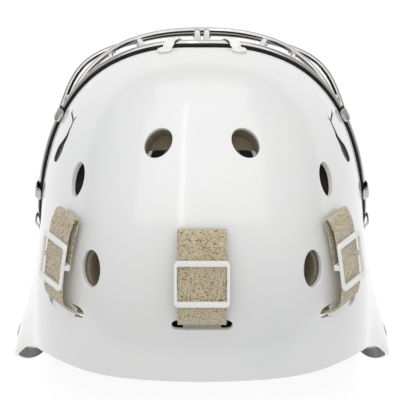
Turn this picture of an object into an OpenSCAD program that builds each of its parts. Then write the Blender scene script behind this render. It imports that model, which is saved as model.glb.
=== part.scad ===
// Hockey goalie mask: moulded shell, wire cage, foam lining, chin cup and a back plate on elastic straps.
// The face looks along -Y and +Z is up. The mask stands on its chin and jaw corners at z = 0.

/* [Shell form] */
// Half width at the cheeks
half_w = 108.5; // [102:0.5:115]
// Reach of the form ahead of the head's centre
front_l = 127; // [120:1:134]
// Reach of the crown's curve behind the head's centre
rear_l = 200; // [185:5:220]
// Height of the crown over the head's centre
crown_h = 146; // [138:1:154]
// Depth that the sides would close at, under the head's centre
under_h = 250; // [235:5:270]
// Height of the head's centre over the resting plane
centre_z = 150; // [146:1:154]
// Place of the head's centre along the mask
centre_y = 12; // [6:1:18]
// Squareness of the form's section
square = 2.5; // [2.3:0.05:2.7]
// How far the crown drops by its rear edge
crown_drop = 62; // [54:1:70]
// How steeply the jaw flares out towards the rear
jaw_flare = 0.43; // [0.36:0.01:0.48]
// Share by which the chin is narrower than the cheeks
chin_narrow = 0.4; // [0.34:0.01:0.46]
// How far the chin stands forward
chin_out = 14; // [8:1:20]
// Thickness of the shell's wall
wall = 3.5; // [2.8:0.1:4.2]

/* [Face opening] */
// Width of the recessed flange that the cage lies on
flange_w = 15.5; // [15:0.5:17]
// Depth of that flange under the outer face
flange_d = 2.2; // [1.6:0.1:2.8]
// Width of the rubber gasket along the flange's step
gasket_w = 2.5; // [2:0.1:3]
// How far the gasket stands over the flange
gasket_h = 3.8; // [3:0.1:4.2]

/* [Vents and slots] */
// Width of a front vent
vent_w = 16.5; // [12:0.5:18]
// Width of a side vent
side_vent_w = 13.5; // [12:0.5:17]
// Width of a rear vent
rear_vent_w = 14; // [12:0.5:17]
// Length of a front vent
front_vent_l = 21; // [18:0.5:24]
// Length of a rear vent
rear_vent_l = 25; // [20:0.5:28]
// How much longer a slot is than its strap is wide
slot_play = 8; // [6:0.5:10]
// Width of a strap slot
slot_w = 7.5; // [6.5:0.5:9]

/* [Cage] */
// Diameter of the cage's edge wire
frame_d = 4.8; // [4:0.2:5.4]
// Diameter of the cage's bars
bar_d = 4; // [3.4:0.2:4.6]
// How far the bars bulge out over the form at the middle
cage_bulge = 6; // [4:0.5:8]
// How much further the lower bars stand out over the cheekbones
cage_shoulder = 7; // [5:0.5:8]
// Angle between the two middle uprights
twin_angle = 3; // [2.8:0.1:5]

/* [Cage fasteners] */
// Width of a cage clip
clip_w = 9; // [8:0.5:11]
// Thickness of a cage clip
clip_t = 1.2; // [1:0.1:1.4]
// Diameter of a screw's shank
screw_d = 3; // [2.5:0.1:3.5]
// Diameter of a screw's head
screw_head_d = 5.4; // [5:0.1:5.8]

/* [Straps] */
// Width of the crown strap's webbing
crown_strap_w = 31; // [28:0.5:32]
// Width of the two side straps' webbing
side_strap_w = 26; // [24:0.5:28]
// Thickness of the strap webbing
strap_t = 1.6; // [1.2:0.1:2]
// Height of a strap's under layer over the shell at its middle
strap_lift = 1.7; // [1.2:0.1:2]
// Free play between webbing and slide
strap_gap = 0.35; // [0.3:0.05:0.5]
// Length of a slide along the strap
slide_l = 32; // [28:1:34]
// Thickness of a slide's bars
slide_t = 1.7; // [1.5:0.1:2.2]
// Width of a slide's bars along the strap
slide_bar = 3.6; // [3.2:0.2:4.4]
// Width of a slide's side rails
slide_rail = 1.8; // [1.6:0.1:2.6]

/* [Back plate] */
// Half width of the back plate
plate_half_w = 64; // [56:1:66]
// Height of the back plate
plate_h = 104; // [90:2:108]
// Height of the back plate's middle over the resting plane
plate_z = 128; // [124:1:132]
// Place of the back plate's outer face behind the head's centre
plate_back = 78; // [72:1:82]
// Radius that the back plate is curved to
plate_r = 105; // [95:1:120]
// Thickness of the back plate
plate_t = 3; // [2.4:0.2:3.6]
// Thickness of the back plate's pad
plate_pad_t = 12; // [8:1:15]

/* [Lining] */
// Thickness of the foam pads
pad_t = 15; // [10:1:18]
// Space for glue and form error between a pad and the shell
pad_gap = 1.1; // [0.8:0.1:1.4]
// Thickness of the sweatband
band_t = 4; // [3:0.5:5]

/* [Chin cup] */
// Radius of the chin cup inside
cup_r = 38; // [34:1:42]
// Height of the chin cup
cup_h = 30; // [24:1:34]
// Thickness of the chin cup
cup_t = 2.4; // [2:0.2:3]
// Thickness of the chin cup's pad
cup_pad_t = 7; // [5:0.5:9]
// Height of the cup's snap studs over the resting plane
stud_z = 100; // [96:1:106]
// Place of the snap studs behind the head's centre, negative towards the face
stud_y = -14; // [-16:1:-10]

/* [Throat guard holes] */
// Radius of an eyelet's bore
eyelet_r = 2.5; // [2:0.1:3]
// How far each eyelet is turned from the chin's middle, in degrees
eyelet_turn = 13; // [10:0.5:16]
// Sweep of the eyelets from straight ahead, in degrees
eyelet_sweep = 50; // [49:0.5:51]

/* [Hidden] */

paint = [0.95, 0.95, 0.94];
chrome = [0.75, 0.76, 0.78];
black = [0.08, 0.08, 0.08];
foam = [0.36, 0.33, 0.25];
cream = [0.88, 0.8, 0.62];
white = [0.93, 0.93, 0.9];

// Across the flange: distances in from the gasket's edge, and heights over the form.
// The edge wire lies beside the gasket, the clips reach over it, and the screws stand inside it.
seat_gap = 0.4;
frame_in = 0.4 + gasket_w + seat_gap + frame_d / 2;
frame_out = frame_d / 2 + seat_gap - flange_d;
clip_over = frame_out + frame_d / 2 + seat_gap + 0.3;
clip_rest = seat_gap - flange_d;
clip_side = frame_in + frame_d / 2 + 0.75 + clip_t / 2;
screw_in = clip_side + clip_t / 2 + 0.2 + screw_head_d / 2;
flange_rows = [-flange_w, -screw_in, -frame_in, -0.2];
// Columns round the face, shared by the shell, the gasket and the edge wire so that they lie true.
edge_columns = 68;

// Directions from the head's centre: turn is the angle about the forward axis, 0 at the left ear (+X)
// and 90 at the crown, and sweep is the angle away from straight ahead.
// The edge that the gasket follows, from the forehead down the left side to the chin, as [turn, sweep].
face_keys = [
    [90, 44.5], [75, 45], [61, 47.8], [50, 51.5], [41, 57], [33, 65], [24, 75.5], [12, 83.5], [0, 87],
    [-12, 86], [-22, 80.5], [-30, 71], [-37, 59.5], [-45, 50], [-55, 42.8], [-67, 38],
    [-79, 35.8], [-90, 35.2]
];
// The rear and lower edge of the shell, in step with face_keys.
rim_keys = [
    [90, 130.5], [76, 129.8], [63, 128.6], [51, 127.2], [39, 126.3], [27, 125.9], [14, 125.9], [0, 125.6],
    [-14, 125], [-27, 122.8], [-38, 119.5], [-47, 115.5], [-54, 110.8], [-59, 104.5],
    [-54.5, 94], [-53.5, 79],
    [-66, 62.5], [-90, 54.5]
];

function sat(t) = max(0, min(1, t));
function ease(t) = let (c = sat(t)) c * c * (3 - 2 * c);
function ramp(t) = t <= 0 ? 0 : t >= 1 ? t - 0.5 : t * t / 2;
function unit(v) = v / norm(v);
function mix(p, q, t) = p + (q - p) * t;
function soft_sign(x) = 1 - 2 / (exp(2 * x) + 1);

// The point of the shell's outer form in a direction.
function form(turn, sweep) =
    let (
        ux = sin(sweep) * cos(turn),
        uy = -cos(sweep),
        uz = sin(sweep) * sin(turn),
        reach_y = uy < 0 ? front_l : rear_l,
        reach_z = uz > 0 ? crown_h : under_h,
        sum = pow(abs(ux) / half_w, square) + pow(abs(uy) / reach_y, square)
            + pow(abs(uz) / reach_z, square),
        r = pow(sum, -1 / square),
        x = r * ux,
        y = r * uy,
        z = r * uz,
        low = ease(-z / 150),
        ahead = ease((45 - y) / 150),
        flare = jaw_flare * 24 * ramp((y + 13) / 24) * (0.3 + 0.55 * ease((50 - z) / 110)),
        drop = crown_drop * pow(max(y + 5, 0) / 110, 2) * ease((z + 90) / 140)
    )
    [
        x * (1 - chin_narrow * low * ahead) + soft_sign(x / 45) * flare,
        y - chin_out * low * ahead + centre_y,
        z - drop + centre_z
    ];

// The form's slopes in a direction, from small steps to either side.
function slope_turn(d) = (form(d[0] + 0.2, d[1]) - form(d[0] - 0.2, d[1])) / 0.4;
function slope_sweep(d) = (form(d[0], d[1] + 0.2) - form(d[0], d[1] - 0.2)) / 0.4;

// The outward normal of the form.
function normal(turn, sweep) = unit(cross(slope_sweep([turn, sweep]), slope_turn([turn, sweep])));

function on_form(turn, sweep, out) = form(turn, sweep) + out * normal(turn, sweep);

// A closed loop of keys and a smooth curve through it; place runs from 0 to the number of keys.
function loop(keys) = concat(keys, [for (i = [len(keys) - 2:-1:1]) [-180 - keys[i][0], keys[i][1]]]);
function key(list, i) =
    let (n = len(list))
    i < 0 ? list[i + n] + [360, 0] : i >= n ? list[i - n] - [360, 0] : list[i];
function curve(list, place) =
    let (
        i = floor(place),
        t = place - i,
        p = key(list, i - 1),
        q = key(list, i),
        r = key(list, i + 1),
        s = key(list, i + 2)
    )
    q + 0.5 * t * (r - p + t * (2 * p - 5 * q + 4 * r - s + t * (3 * (q - r) + s - p)));

face_loop = loop(face_keys);
rim_loop = loop(rim_keys);
steps = len(face_loop);

// Direction at a distance in millimetres from the gasket's edge, square to it and towards the rim.
function from_edge(place, dist) =
    let (
        f = curve(face_loop, place),
        by_turn = slope_turn(f),
        by_sweep = slope_sweep(f),
        before = curve(face_loop, place - 0.03),
        after = curve(face_loop, place + 0.03),
        ahead = form(after[0], after[1]) - form(before[0], before[1]),
        way = unit(cross(cross(by_sweep, by_turn), ahead)),
        tt = by_turn * by_turn,
        ts = by_turn * by_sweep,
        ss = by_sweep * by_sweep,
        det = tt * ss - ts * ts,
        u = (by_turn * way * ss - by_sweep * way * ts) / det,
        v = (by_sweep * way * tt - by_turn * way * ts) / det
    )
    f + [u, v] * dist;

// A closed ring of equal sections, and a tube along an open path of rings with flat ends.
module ring_solid(sections) {
    n = len(sections);
    m = len(sections[0]);
    polyhedron(
        points = [for (s = sections) each s],
        faces = [
            for (i = [0:n - 1], j = [0:m - 1])
            let (a = i * m, b = ((i + 1) % n) * m, k = (j + 1) % m)
            each [[a + j, b + j, b + k], [a + j, b + k, a + k]]
        ]
    );
}

module tube_solid(sections) {
    n = len(sections);
    m = len(sections[0]);
    polyhedron(
        points = [for (s = sections) each s],
        faces = concat(
            [
                for (i = [0:n - 2], j = [0:m - 1])
                let (a = i * m, b = (i + 1) * m, k = (j + 1) % m)
                each [[a + j, b + j, b + k], [a + j, b + k, a + k]]
            ],
            [[for (j = [0:m - 1]) j]],
            [[for (j = [m - 1:-1:0]) (n - 1) * m + j]]
        )
    );
}

// Sits children on the form: +Z outwards, +Y along the form towards the face opening.
module seat(turn, sweep, spin = 0, out = 0) {
    z = normal(turn, sweep);
    ahead = form(turn, sweep - 0.4) - form(turn, sweep + 0.4);
    y = unit(ahead - z * (ahead * z));
    x = cross(y, z);
    p = on_form(turn, sweep, out);
    multmatrix([[x[0], y[0], z[0], p[0]], [x[1], y[1], z[1], p[1]], [x[2], y[2], z[2], p[2]]])
        rotate([0, 0, spin])
            children();
}

// Sits children at the gasket's edge: +Z outwards, +Y square to the edge, into the face opening.
module seat_edge(place, dist, out = 0) {
    d = from_edge(place, dist);
    z = normal(d[0], d[1]);
    y = edge_way(place, dist);
    x = cross(y, z);
    p = on_form(d[0], d[1], out);
    multmatrix([[x[0], y[0], z[0], p[0]], [x[1], y[1], z[1], p[1]], [x[2], y[2], z[2], p[2]]])
        children();
}

function edge_way(place, dist) =
    let (
        d = from_edge(place, dist),
        e = from_edge(place, dist - 4),
        z = normal(d[0], d[1]),
        ahead = form(e[0], e[1]) - form(d[0], d[1])
    )
    unit(ahead - z * (ahead * z));

module both_sides() {
    children();
    mirror([1, 0, 0])
        children();
}

module stadium(length, width) {
    square([length - width, width], center = true);
    for (s = [-1, 1])
        translate([s * (length - width) / 2, 0])
            circle(d = width, $fn = 32);
}

module oval_cut(length, width, depth = 14, sides = 20) {
    hull()
        for (s = [-1, 1])
            translate([0, s * (length - width) / 2, -depth / 2])
                cylinder(h = depth, d = width, $fn = sides);
}

module ellipse_cut(length, width, depth = 14, sides = 24) {
    translate([0, 0, -depth / 2])
        linear_extrude(depth)
            polygon([
                for (k = [0:sides - 1])
                    let (a = 360 * k / sides)
                    [width / 2 * cos(a), length / 2 * sin(a)]
            ]);
}

/* Shell */
shell_rows = 10;
// Vents of the left half as [turn, sweep, spin, length, width].
vents = [
    [79, 78.5, -32, front_vent_l, vent_w],
    [54.8, 85, -14, front_vent_l + 1.5, side_vent_w],
    [62.5, 108, 0, rear_vent_l, rear_vent_w]
];
ear_holes = [for (s = [-1, 1], k = [-1:1]) [90 - s * (96 + 4.5 * k), 104]];

function shell_section(place) =
    let (
        r = curve(rim_loop, place),
        start = from_edge(place, 1.2),
        lift = from_edge(place, 4.5),
        flange = [for (d = flange_rows) from_edge(place, d)],
        outer = concat(
            [for (f = flange) on_form(f[0], f[1], -flange_d)],
            [for (i = [0:shell_rows]) let (d = mix(start, r, i / shell_rows)) on_form(d[0], d[1], 0)]
        ),
        inner = concat(
            [
                for (i = [shell_rows:-1:0])
                    let (d = mix(lift, r, i / shell_rows))
                    on_form(d[0], d[1], -wall)
            ],
            [on_form(start[0], start[1], -wall - flange_d)],
            [for (i = [2:-1:0]) on_form(flange[i][0], flange[i][1], -wall - flange_d)]
        )
    )
    concat(outer, inner);

module shell() {
    color(paint)
        difference() {
            ring_solid([for (i = [edge_columns - 1:-1:0]) shell_section(i * steps / edge_columns)]);
            translate([-200, -200, -60])
                cube([400, 400, 60]);
            both_sides()
                for (v = vents)
                    seat(v[0], v[1], v[2])
                        ellipse_cut(v[3], v[4]);
            both_sides()
                for (s = straps)
                    strap_slot(s);
            for (h = ear_holes)
                seat(h[0], h[1], 0)
                    oval_cut(12, 5, 14, 12);
            for (c = clips)
                seat_edge(c, -screw_in)
                    cylinder(h = 30, d = screw_d + 0.6, center = true, $fn = 8);
            both_sides()
                seat(eyelet_turn - 90, eyelet_sweep)
                    cylinder(h = 30, r = eyelet_r + eyelet_wall + 0.1, center = true, $fn = 20);
            both_sides()
                stud_place()
                    cylinder(h = 20, r = stud_r + 0.1, center = true, $fn = 16);
            both_sides()
                seat(anchor_dir[0], anchor_dir[1])
                    cylinder(h = 20, r = anchor_r + 0.1, center = true, $fn = 16);
        }
}

/* Gasket: a rubber strip that lies on the flange along its step */
function gasket_section(place) =
    let (
        a = from_edge(place, -0.4 - gasket_w),
        b = from_edge(place, -0.4),
        low = 0.25 - flange_d,
        top = low + gasket_h
    )
    [
        on_form(a[0], a[1], low), on_form(b[0], b[1], low),
        on_form(b[0], b[1], top - 0.5), on_form(a[0], a[1], top)
    ];

module face_gasket() {
    color(black)
        ring_solid([for (i = [0:edge_columns - 1]) gasket_section(i * steps / edge_columns)]);
}

/* Cage */
wire_sides = 7;

// A round wire along a list of points.
function wire_sections(pts, d, closed) =
    let (n = len(pts))
    [
        for (i = [0:n - 1])
        let (
            before = closed ? pts[(i + n - 1) % n] : pts[max(0, i - 1)],
            after = closed ? pts[(i + 1) % n] : pts[min(n - 1, i + 1)],
            along = unit(after - before),
            out = unit(pts[i] - [0, centre_y, centre_z]),
            side = unit(cross(along, out)),
            up = cross(side, along)
        )
        [
            for (k = [0:wire_sides - 1])
                let (a = k * 360 / wire_sides)
                pts[i] + d / 2 * (cos(a) * side - sin(a) * up)
        ]
    ];

frame_pts = [
    for (i = [0:edge_columns - 1])
    let (d = from_edge(i * steps / edge_columns, -frame_in))
    on_form(d[0], d[1], frame_out)
];

// A point of the cage's face. yaw is the angle to the left of straight ahead and rise the angle upwards.
// The bars meet the frame at its edge and bulge out over the form between.
function cage_dir(yaw, rise) =
    let (x = cos(rise) * sin(yaw), y = cos(rise) * cos(yaw), z = sin(rise))
    [atan2(z, x), acos(y)];
// The edge wire's sweep at a turn of the left half, found by halving along the face's edge.
function edge_sweep(turn, low = 0, high = steps / 2, n = 12) =
    let (
        mid = (low + high) / 2,
        d = from_edge(mid, -frame_in)
    )
    n == 0 ? d[1] : d[0] > turn ? edge_sweep(turn, mid, high, n - 1) : edge_sweep(turn, low, mid, n - 1);
function left_turn(turn) = turn > 90 ? 180 - turn : turn < -90 ? -180 - turn : turn;
function frame_share(yaw, rise) = let (d = cage_dir(yaw, rise)) d[1] / edge_sweep(left_turn(d[0]));

// inset moves an upright behind the bars, except where it meets the edge wire.
function cage_point(yaw, rise, inset = 0) =
    let (
        d = cage_dir(yaw, rise),
        share = sat(frame_share(yaw, rise)),
        shoulder = cage_shoulder * exp(-pow((abs(yaw) - 36) / 11, 2)) * sat((24 - rise) / 10),
        bulge = (cage_bulge * pow(cos(yaw), 3) + shoulder) * pow(1 - pow(share, 2.5), 0.8),
        out = frame_out + bulge - inset * (1 - pow(share, 8))
    )
    on_form(d[0], d[1], out);

// The yaw at which a bar of a given rise meets the edge wire, and the rise at which an upright does.
function frame_yaw(rise, low = 10, high = 89, n = 12) =
    let (mid = (low + high) / 2)
    n == 0 ? mid
    : frame_share(mid, rise) > 1 ? frame_yaw(rise, low, mid, n - 1)
    : frame_yaw(rise, mid, high, n - 1);
function frame_rise(yaw, way, low = 0, high = 60, n = 12) =
    let (mid = (low + high) / 2)
    n == 0 ? way * mid
    : frame_share(yaw, way * mid) > 1 ? frame_rise(yaw, way, low, mid, n - 1)
    : frame_rise(yaw, way, mid, high, n - 1);

// Bars across the face as [yaw, rise] keys of the left half; each is mirrored to make the whole bar.
brow_bar = [[0, 19], [18, 20.5], [32, 25], [frame_yaw(31), 31]];
eye_top_bar = [[0, 12], [16, 13.5], [34, 12.5], [52, 9], [66, 7.5], [frame_yaw(9), 9]];
eye_low_bar = [[0, -7], [10, -9.5], [24, -12.5], [40, -10.5], [54, -3.5], [66, 7.5]];
nose_bar = [[0, -15.5], [18, -19], [36, -19.5], [52, -16.5], [frame_yaw(-13), -13]];
mouth_bar = [[0, -24.5], [16, -26.5], [32, -27], [frame_yaw(-25.5), -25.5]];

function open_curve(keys, place) =
    let (
        n = len(keys),
        i = min(n - 2, floor(place)),
        t = place - i,
        q = keys[i],
        r = keys[i + 1],
        p = i > 0 ? keys[i - 1] : 2 * q - r,
        s = i < n - 2 ? keys[i + 2] : 2 * r - q
    )
    q + 0.5 * t * (r - p + t * (2 * p - 5 * q + 4 * r - s + t * (3 * (q - r) + s - p)));
function mirrored(keys) = concat([for (i = [len(keys) - 1:-1:1]) [-keys[i][0], keys[i][1]]], keys);
function bar_pts(keys, n) = [
    for (i = [0:n])
        let (k = open_curve(keys, i * (len(keys) - 1) / n))
        cage_point(k[0], k[1])
];

// Uprights as [yaw at the top, yaw at the foot, rise at the top, rise at the foot].
uprights = [
    [twin_angle / 2, twin_angle / 2, frame_rise(twin_angle / 2, 1), frame_rise(twin_angle / 2, -1)],
    [20, 19, frame_rise(20, 1), 14], [19, 17, -12, frame_rise(17, -1)],
    [31, 27, frame_rise(31, 1), 13.5], [31, 25, -13, frame_rise(25, -1)],
    [45, 39, 10, frame_rise(39, -1)]
];

module wire(pts, d) {
    tube_solid(wire_sections(pts, d, false));
}

module cage() {
    color(chrome)
        union() {
            ring_solid(wire_sections(frame_pts, frame_d, true));
            for (keys = [brow_bar, eye_top_bar, eye_low_bar, nose_bar, mouth_bar])
                wire(bar_pts(mirrored(keys), 20), bar_d);
            for (s = [-1, 1], u = uprights)
                wire([
                    for (i = [0:4])
                    let (t = i / 4)
                    cage_point(s * mix(u[0], u[1], t), mix(u[2], u[3], t), bar_d * 0.6)
                ], bar_d);
            // Flattened pads on the frame where the clips hold it
            for (c = clip_pads)
                seat_edge(c, -frame_in, frame_out)
                    hull()
                        for (s = [-1, 1])
                            translate([s * clip_w * 0.4, 0, -0.2])
                                cylinder(h = 1.6, d = frame_d, center = true, $fn = 8);
        }
}

/* Fasteners of the cage */
// Places along the face loop: two at the forehead, three on each side and two at the chin.
top_places = [0.55, steps - 0.55];
side_places = [4.5, 6.5, 8, steps - 4.5, steps - 6.5, steps - 8];
chin_places = [15.5, steps - 15.5];
clips = concat(top_places, side_places, chin_places);
// The forehead clips cross the edge wire further out than their screws.
top_cross = 0.68;
clip_pads = concat([top_cross, steps - top_cross], side_places, chin_places);
top_clip_w = 7;
top_lean = 0.48;
top_fall = 0.015;
top_foot = 0.89;
foot_in = 6;
foot_l = 10;
foot_w = 6.4;
foot_h = 1.8;

// A 2D strip of a given thickness along a path, with square corners.
function strip(path, t) =
    let (
        n = len(path),
        side = [
            for (i = [0:n - 1])
            let (
                u = i == 0 ? unit(path[1] - path[0]) : unit(path[i] - path[i - 1]),
                v = i == n - 1 ? u : unit(path[i + 1] - path[i]),
                w = unit(u + v)
            )
            [-w[1], w[0]] * t / 2 / (w * u)
        ]
    )
    concat([for (i = [0:n - 1]) path[i] + side[i]], [for (i = [n - 1:-1:0]) path[i] - side[i]]);

module upright_strip(path, t, width) {
    // The path's first value runs along +Y and its second along +Z.
    rotate([90, 0, 90])
        translate([0, 0, -width / 2])
            linear_extrude(width)
                polygon(strip(path, t));
}

// The clip's path as [distance from the gasket's edge, height over the form].
// Each clip is bent to suit its place.
clip_keys = [
    [4, clip_t / 2 + 0.35], [1.5, clip_t / 2 + 0.8], [-0.6, clip_over + clip_t / 2],
    [-frame_in - 0.6, clip_over + clip_t / 2], [-clip_side, clip_over * 0.45],
    [-clip_side, clip_rest + clip_t / 2], [0.3 - flange_w, clip_rest + clip_t / 2]
];

// The clip leans by the given shares of its length across, and with the form's fall to that side.
module clip(place, width, lean = 0, fall = 0) {
    d = from_edge(place, -screw_in);
    p = form(d[0], d[1]);
    z = normal(d[0], d[1]);
    y = edge_way(place, -screw_in);
    path = [
        for (k = clip_keys)
        let (e = from_edge(place, k[0]), q = on_form(e[0], e[1], k[1]) - p)
        [q * y, q * z]
    ];
    seat_edge(place, -screw_in)
        difference() {
            multmatrix([[1, lean, 0, 0], [0, 1, 0, 0], [0, fall, 1, 0]])
                upright_strip(path, clip_t, width);
            translate([0, 0, -6])
                cylinder(h = 12, d = screw_d + 0.2, $fn = 24);
        }
}

// A forehead clip has an oval foot on the shell, further out than its screw.
module top_clips() {
    color(white)
        both_sides()
            union() {
                clip(top_places[0], top_clip_w, top_lean, top_fall);
                seat_edge(top_foot, foot_in, 0.35)
                    difference() {
                        linear_extrude(foot_h)
                            stadium(foot_l, foot_w);
                        translate([-1.6, -0.4, foot_h - 0.8])
                            cube([3.2, 0.8, 2]);
                    }
            }
}

module side_clips() {
    color(chrome)
        for (c = side_places)
            clip(c, clip_w);
}

module chin_clips() {
    color(chrome)
        for (c = chin_places)
            clip(c, clip_w);
}

screw_head_h = 1.8;
nut_h = 2.2;
module cage_screws() {
    head_z = clip_rest + clip_t + 0.05;
    tip_z = -flange_d - wall - nut_h - 1.6;
    color(chrome)
        for (c = clips)
            seat_edge(c, -screw_in)
                rotate_extrude($fn = 32)
                    polygon([
                        [0, tip_z], [screw_d / 2, tip_z], [screw_d / 2, head_z], [screw_head_d / 2, head_z],
                        [screw_head_d / 2, head_z + screw_head_h * 0.5],
                        [screw_head_d * 0.3, head_z + screw_head_h], [0, head_z + screw_head_h]
                    ]);
}

module cage_nuts() {
    color(chrome)
        for (c = clips)
            seat_edge(c, -screw_in)
                translate([0, 0, -flange_d - wall - nut_h - 0.6])
                    difference() {
                        cylinder(h = nut_h, d = 7, $fn = 32);
                        translate([0, 0, -1])
                            cylinder(h = nut_h + 2, d = screw_d + 0.1, $fn = 32);
                    }
}

/* Eyelets in the chin where a throat guard is laced on */
eyelet_wall = 0.8;
eyelet_flange = 1.8;
module throat_eyelets() {
    color(chrome)
        both_sides()
            seat(eyelet_turn - 90, eyelet_sweep)
                rotate_extrude($fn = 48)
                    polygon([
                        [eyelet_r, -wall - 1.2], [eyelet_r + eyelet_wall, -wall - 1.2],
                        [eyelet_r + eyelet_wall, 0.3], [eyelet_r + eyelet_wall + eyelet_flange, 0.3],
                        [eyelet_r + eyelet_wall + eyelet_flange * 0.7, 1.1],
                        [eyelet_r, 1.1]
                    ]);
}

/* Foam lining */
// A pad on the inside of the shell, crowned towards the head and drawn in at its sides.
module lining_pad(turn_a, turn_b, sweep_a, sweep_b, thick, gap, n = 8) {
    function bulge(t) = pow(1 - pow(abs(2 * t - 1), 4), 0.6);
    function at(i, j, inner) =
        let (
            u = i / n,
            v = j / n,
            pull = 0.03 * (1 - 4 * (v - 0.5) * (v - 0.5)),
            turn = mix(turn_a, turn_b, 0.5 + (u - 0.5) * (1 - pull)),
            sweep = mix(sweep_a, sweep_b, v),
            depth = inner ? 0.3 * thick + 0.7 * thick * bulge(u) * bulge(v) : 0
        )
        on_form(turn, sweep, -wall - gap - depth);
    outer = [for (i = [0:n], j = [0:n]) at(i, j, false)];
    inner = [for (i = [0:n], j = [0:n]) at(i, j, true)];
    m = n + 1;
    base = m * m;
    skin = [
        for (i = [0:n - 1], j = [0:n - 1])
            let (a = i * m + j)
            each [[a, a + m, a + m + 1], [a, a + m + 1, a + 1]]
    ];
    back = [for (f = skin) [f[2] + base, f[1] + base, f[0] + base]];
    walk = concat(
        [for (j = [0:n]) j],
        [for (i = [1:n]) i * m + n],
        [for (j = [n - 1:-1:0]) n * m + j],
        [for (i = [n - 1:-1:1]) i * m]
    );
    sides = [
        for (k = [0:len(walk) - 1])
        let (a = walk[k], b = walk[(k + 1) % len(walk)])
        each [[a, b, b + base], [a, b + base, a + base]]
    ];
    polyhedron(points = concat(outer, inner), faces = concat(skin, back, sides));
}

module forehead_pad() {
    color(foam)
        lining_pad(57, 123, 53, 80, pad_t, pad_gap, 9);
}

module sweatband() {
    color(black)
        lining_pad(64, 116, 56, 66, band_t, pad_gap + pad_t + 0.5, 8);
}

module crown_pad() {
    color(foam)
        lining_pad(57, 123, 91, 113, pad_t, pad_gap, 9);
}

module temple_pad_left() {
    color(foam)
        lining_pad(30, 51, 73, 98, pad_t, pad_gap);
}

module temple_pad_right() {
    color(foam)
        mirror([1, 0, 0])
            lining_pad(30, 51, 73, 98, pad_t, pad_gap);
}

module side_pad_left() {
    color(foam)
        lining_pad(-10, 20, 91, 100, pad_t, pad_gap);
}

module side_pad_right() {
    color(foam)
        mirror([1, 0, 0])
            lining_pad(-10, 20, 91, 100, pad_t, pad_gap);
}

module jaw_pad_left() {
    color(foam)
        lining_pad(-44, -20, 91.5, 104.5, pad_t, pad_gap);
}

module jaw_pad_right() {
    color(foam)
        mirror([1, 0, 0])
            lining_pad(-44, -20, 91.5, 104.5, pad_t, pad_gap);
}

module chin_bumper() {
    color(foam)
        lining_pad(-112, -68, 39, 46.5, 8, pad_gap);
}

/* Straps */
// Each strap as [slot direction, fold direction, corner of the back plate, width, lean about its length].
// The right-hand straps are mirrored from the left-hand ones.
crown = [[90, 120], [90, 99.6], [0, 1], crown_strap_w, 0];
upper = [[50.7, 115.2], [53.7, 93.4], [1, 1], side_strap_w, -6.4];
straps = [crown, upper];
slide_at = 0.45;
slide_low = -8;
slide_high = 8;

function strap_mid(s) = mix(s[0], s[1], slide_at);
function strap_way(s) = form(s[1][0], s[1][1]) - form(s[0][0], s[0][1]);
function strap_normal(s) =
    let (
        m = strap_mid(s),
        n = normal(m[0], m[1]),
        way = strap_way(s),
        x = unit(cross(way, n))
    )
    cos(s[4]) * n + sin(s[4]) * x;
function strap_along(s) =
    let (
        z = strap_normal(s),
        way = strap_way(s)
    )
    unit(way - z * (way * z));
// The shell's outer face under a strap, as heights along it, from behind the slot to past the fold.
function strap_ground(s) =
    let (
        m = strap_mid(s),
        o = form(m[0], m[1]),
        y = strap_along(s),
        z = strap_normal(s)
    )
    [for (t = [-0.5:0.1:1.5]) let (d = mix(s[0], s[1], t), p = form(d[0], d[1]) - o) [p * y, p * z]];
function strap_slot_y(s) =
    let (m = strap_mid(s))
    (form(s[0][0], s[0][1]) - form(m[0], m[1])) * strap_along(s);
function strap_fold_y(s) =
    let (m = strap_mid(s))
    (form(s[1][0], s[1][1]) - form(m[0], m[1])) * strap_along(s);

module on_strap(s) {
    m = strap_mid(s);
    z = strap_normal(s);
    y = strap_along(s);
    x = cross(y, z);
    p = form(m[0], m[1]);
    multmatrix([[x[0], y[0], z[0], p[0]], [x[1], y[1], z[1], p[1]], [x[2], y[2], z[2], p[2]]])
        children();
}

// Heights over the tangent plane at the slide, from the shell outwards.
under_mid = strap_lift + strap_t / 2;
bar_low = strap_lift + strap_t + strap_gap;
over_mid = bar_low + slide_t + strap_gap + strap_t / 2;
bar_high = over_mid + strap_t / 2 + strap_gap;

function strap_path(s) =
    let (
        ground = strap_ground(s),
        slot_y = strap_slot_y(s),
        fold_y = strap_fold_y(s),
        run_low = -slide_l / 2 + slide_low + 1,
        run_high = slide_l / 2 + slide_high,
        r = (over_mid - under_mid) / 2,
        bend_z = lookup(fold_y, ground) + under_mid
    )
    concat(
        [[slot_y - 2.5, lookup(slot_y, ground) - wall - 9], [slot_y, lookup(slot_y, ground) + 0.8]],
        [[run_low, over_mid], [run_high, over_mid]],
        [[fold_y - r, bend_z + 2 * r]],
        [for (a = [60:-30:-60]) [fold_y - r + r * cos(a), bend_z + r + r * sin(a)]],
        [for (t = [0.0:0.25:1]) let (y = mix(fold_y - r, -2, t)) [y, lookup(y, ground) + under_mid]]
    );

module strap(s) {
    color(cream)
        on_strap(s)
            upright_strip(strap_path(s), strap_t, s[3]);
}

// The slot is cut along the webbing's own way through the wall.
module strap_slot(s) {
    ends = strap_path(s);
    way = ends[1] - ends[0];
    on_strap(s)
        translate([0, ends[1][0], ends[1][1] - 3])
            rotate([-atan2(way[0], way[1]), 0, 0])
                rotate([0, 0, 90])
                    oval_cut(s[3] + slot_play, slot_w, 18);
}

module crown_strap() {
    strap(crown);
}

module upper_strap_left() {
    strap(upper);
}

module upper_strap_right() {
    mirror([1, 0, 0])
        strap(upper);
}

/* Slides */
module rounded_plate(w, l, r) {
    square([w - 2 * r, l], center = true);
    square([w, l - 2 * r], center = true);
    for (x = [-1, 1], y = [-1, 1])
        translate([x * (w / 2 - r), y * (l / 2 - r)])
            circle(r, $fn = 24);
}

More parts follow.
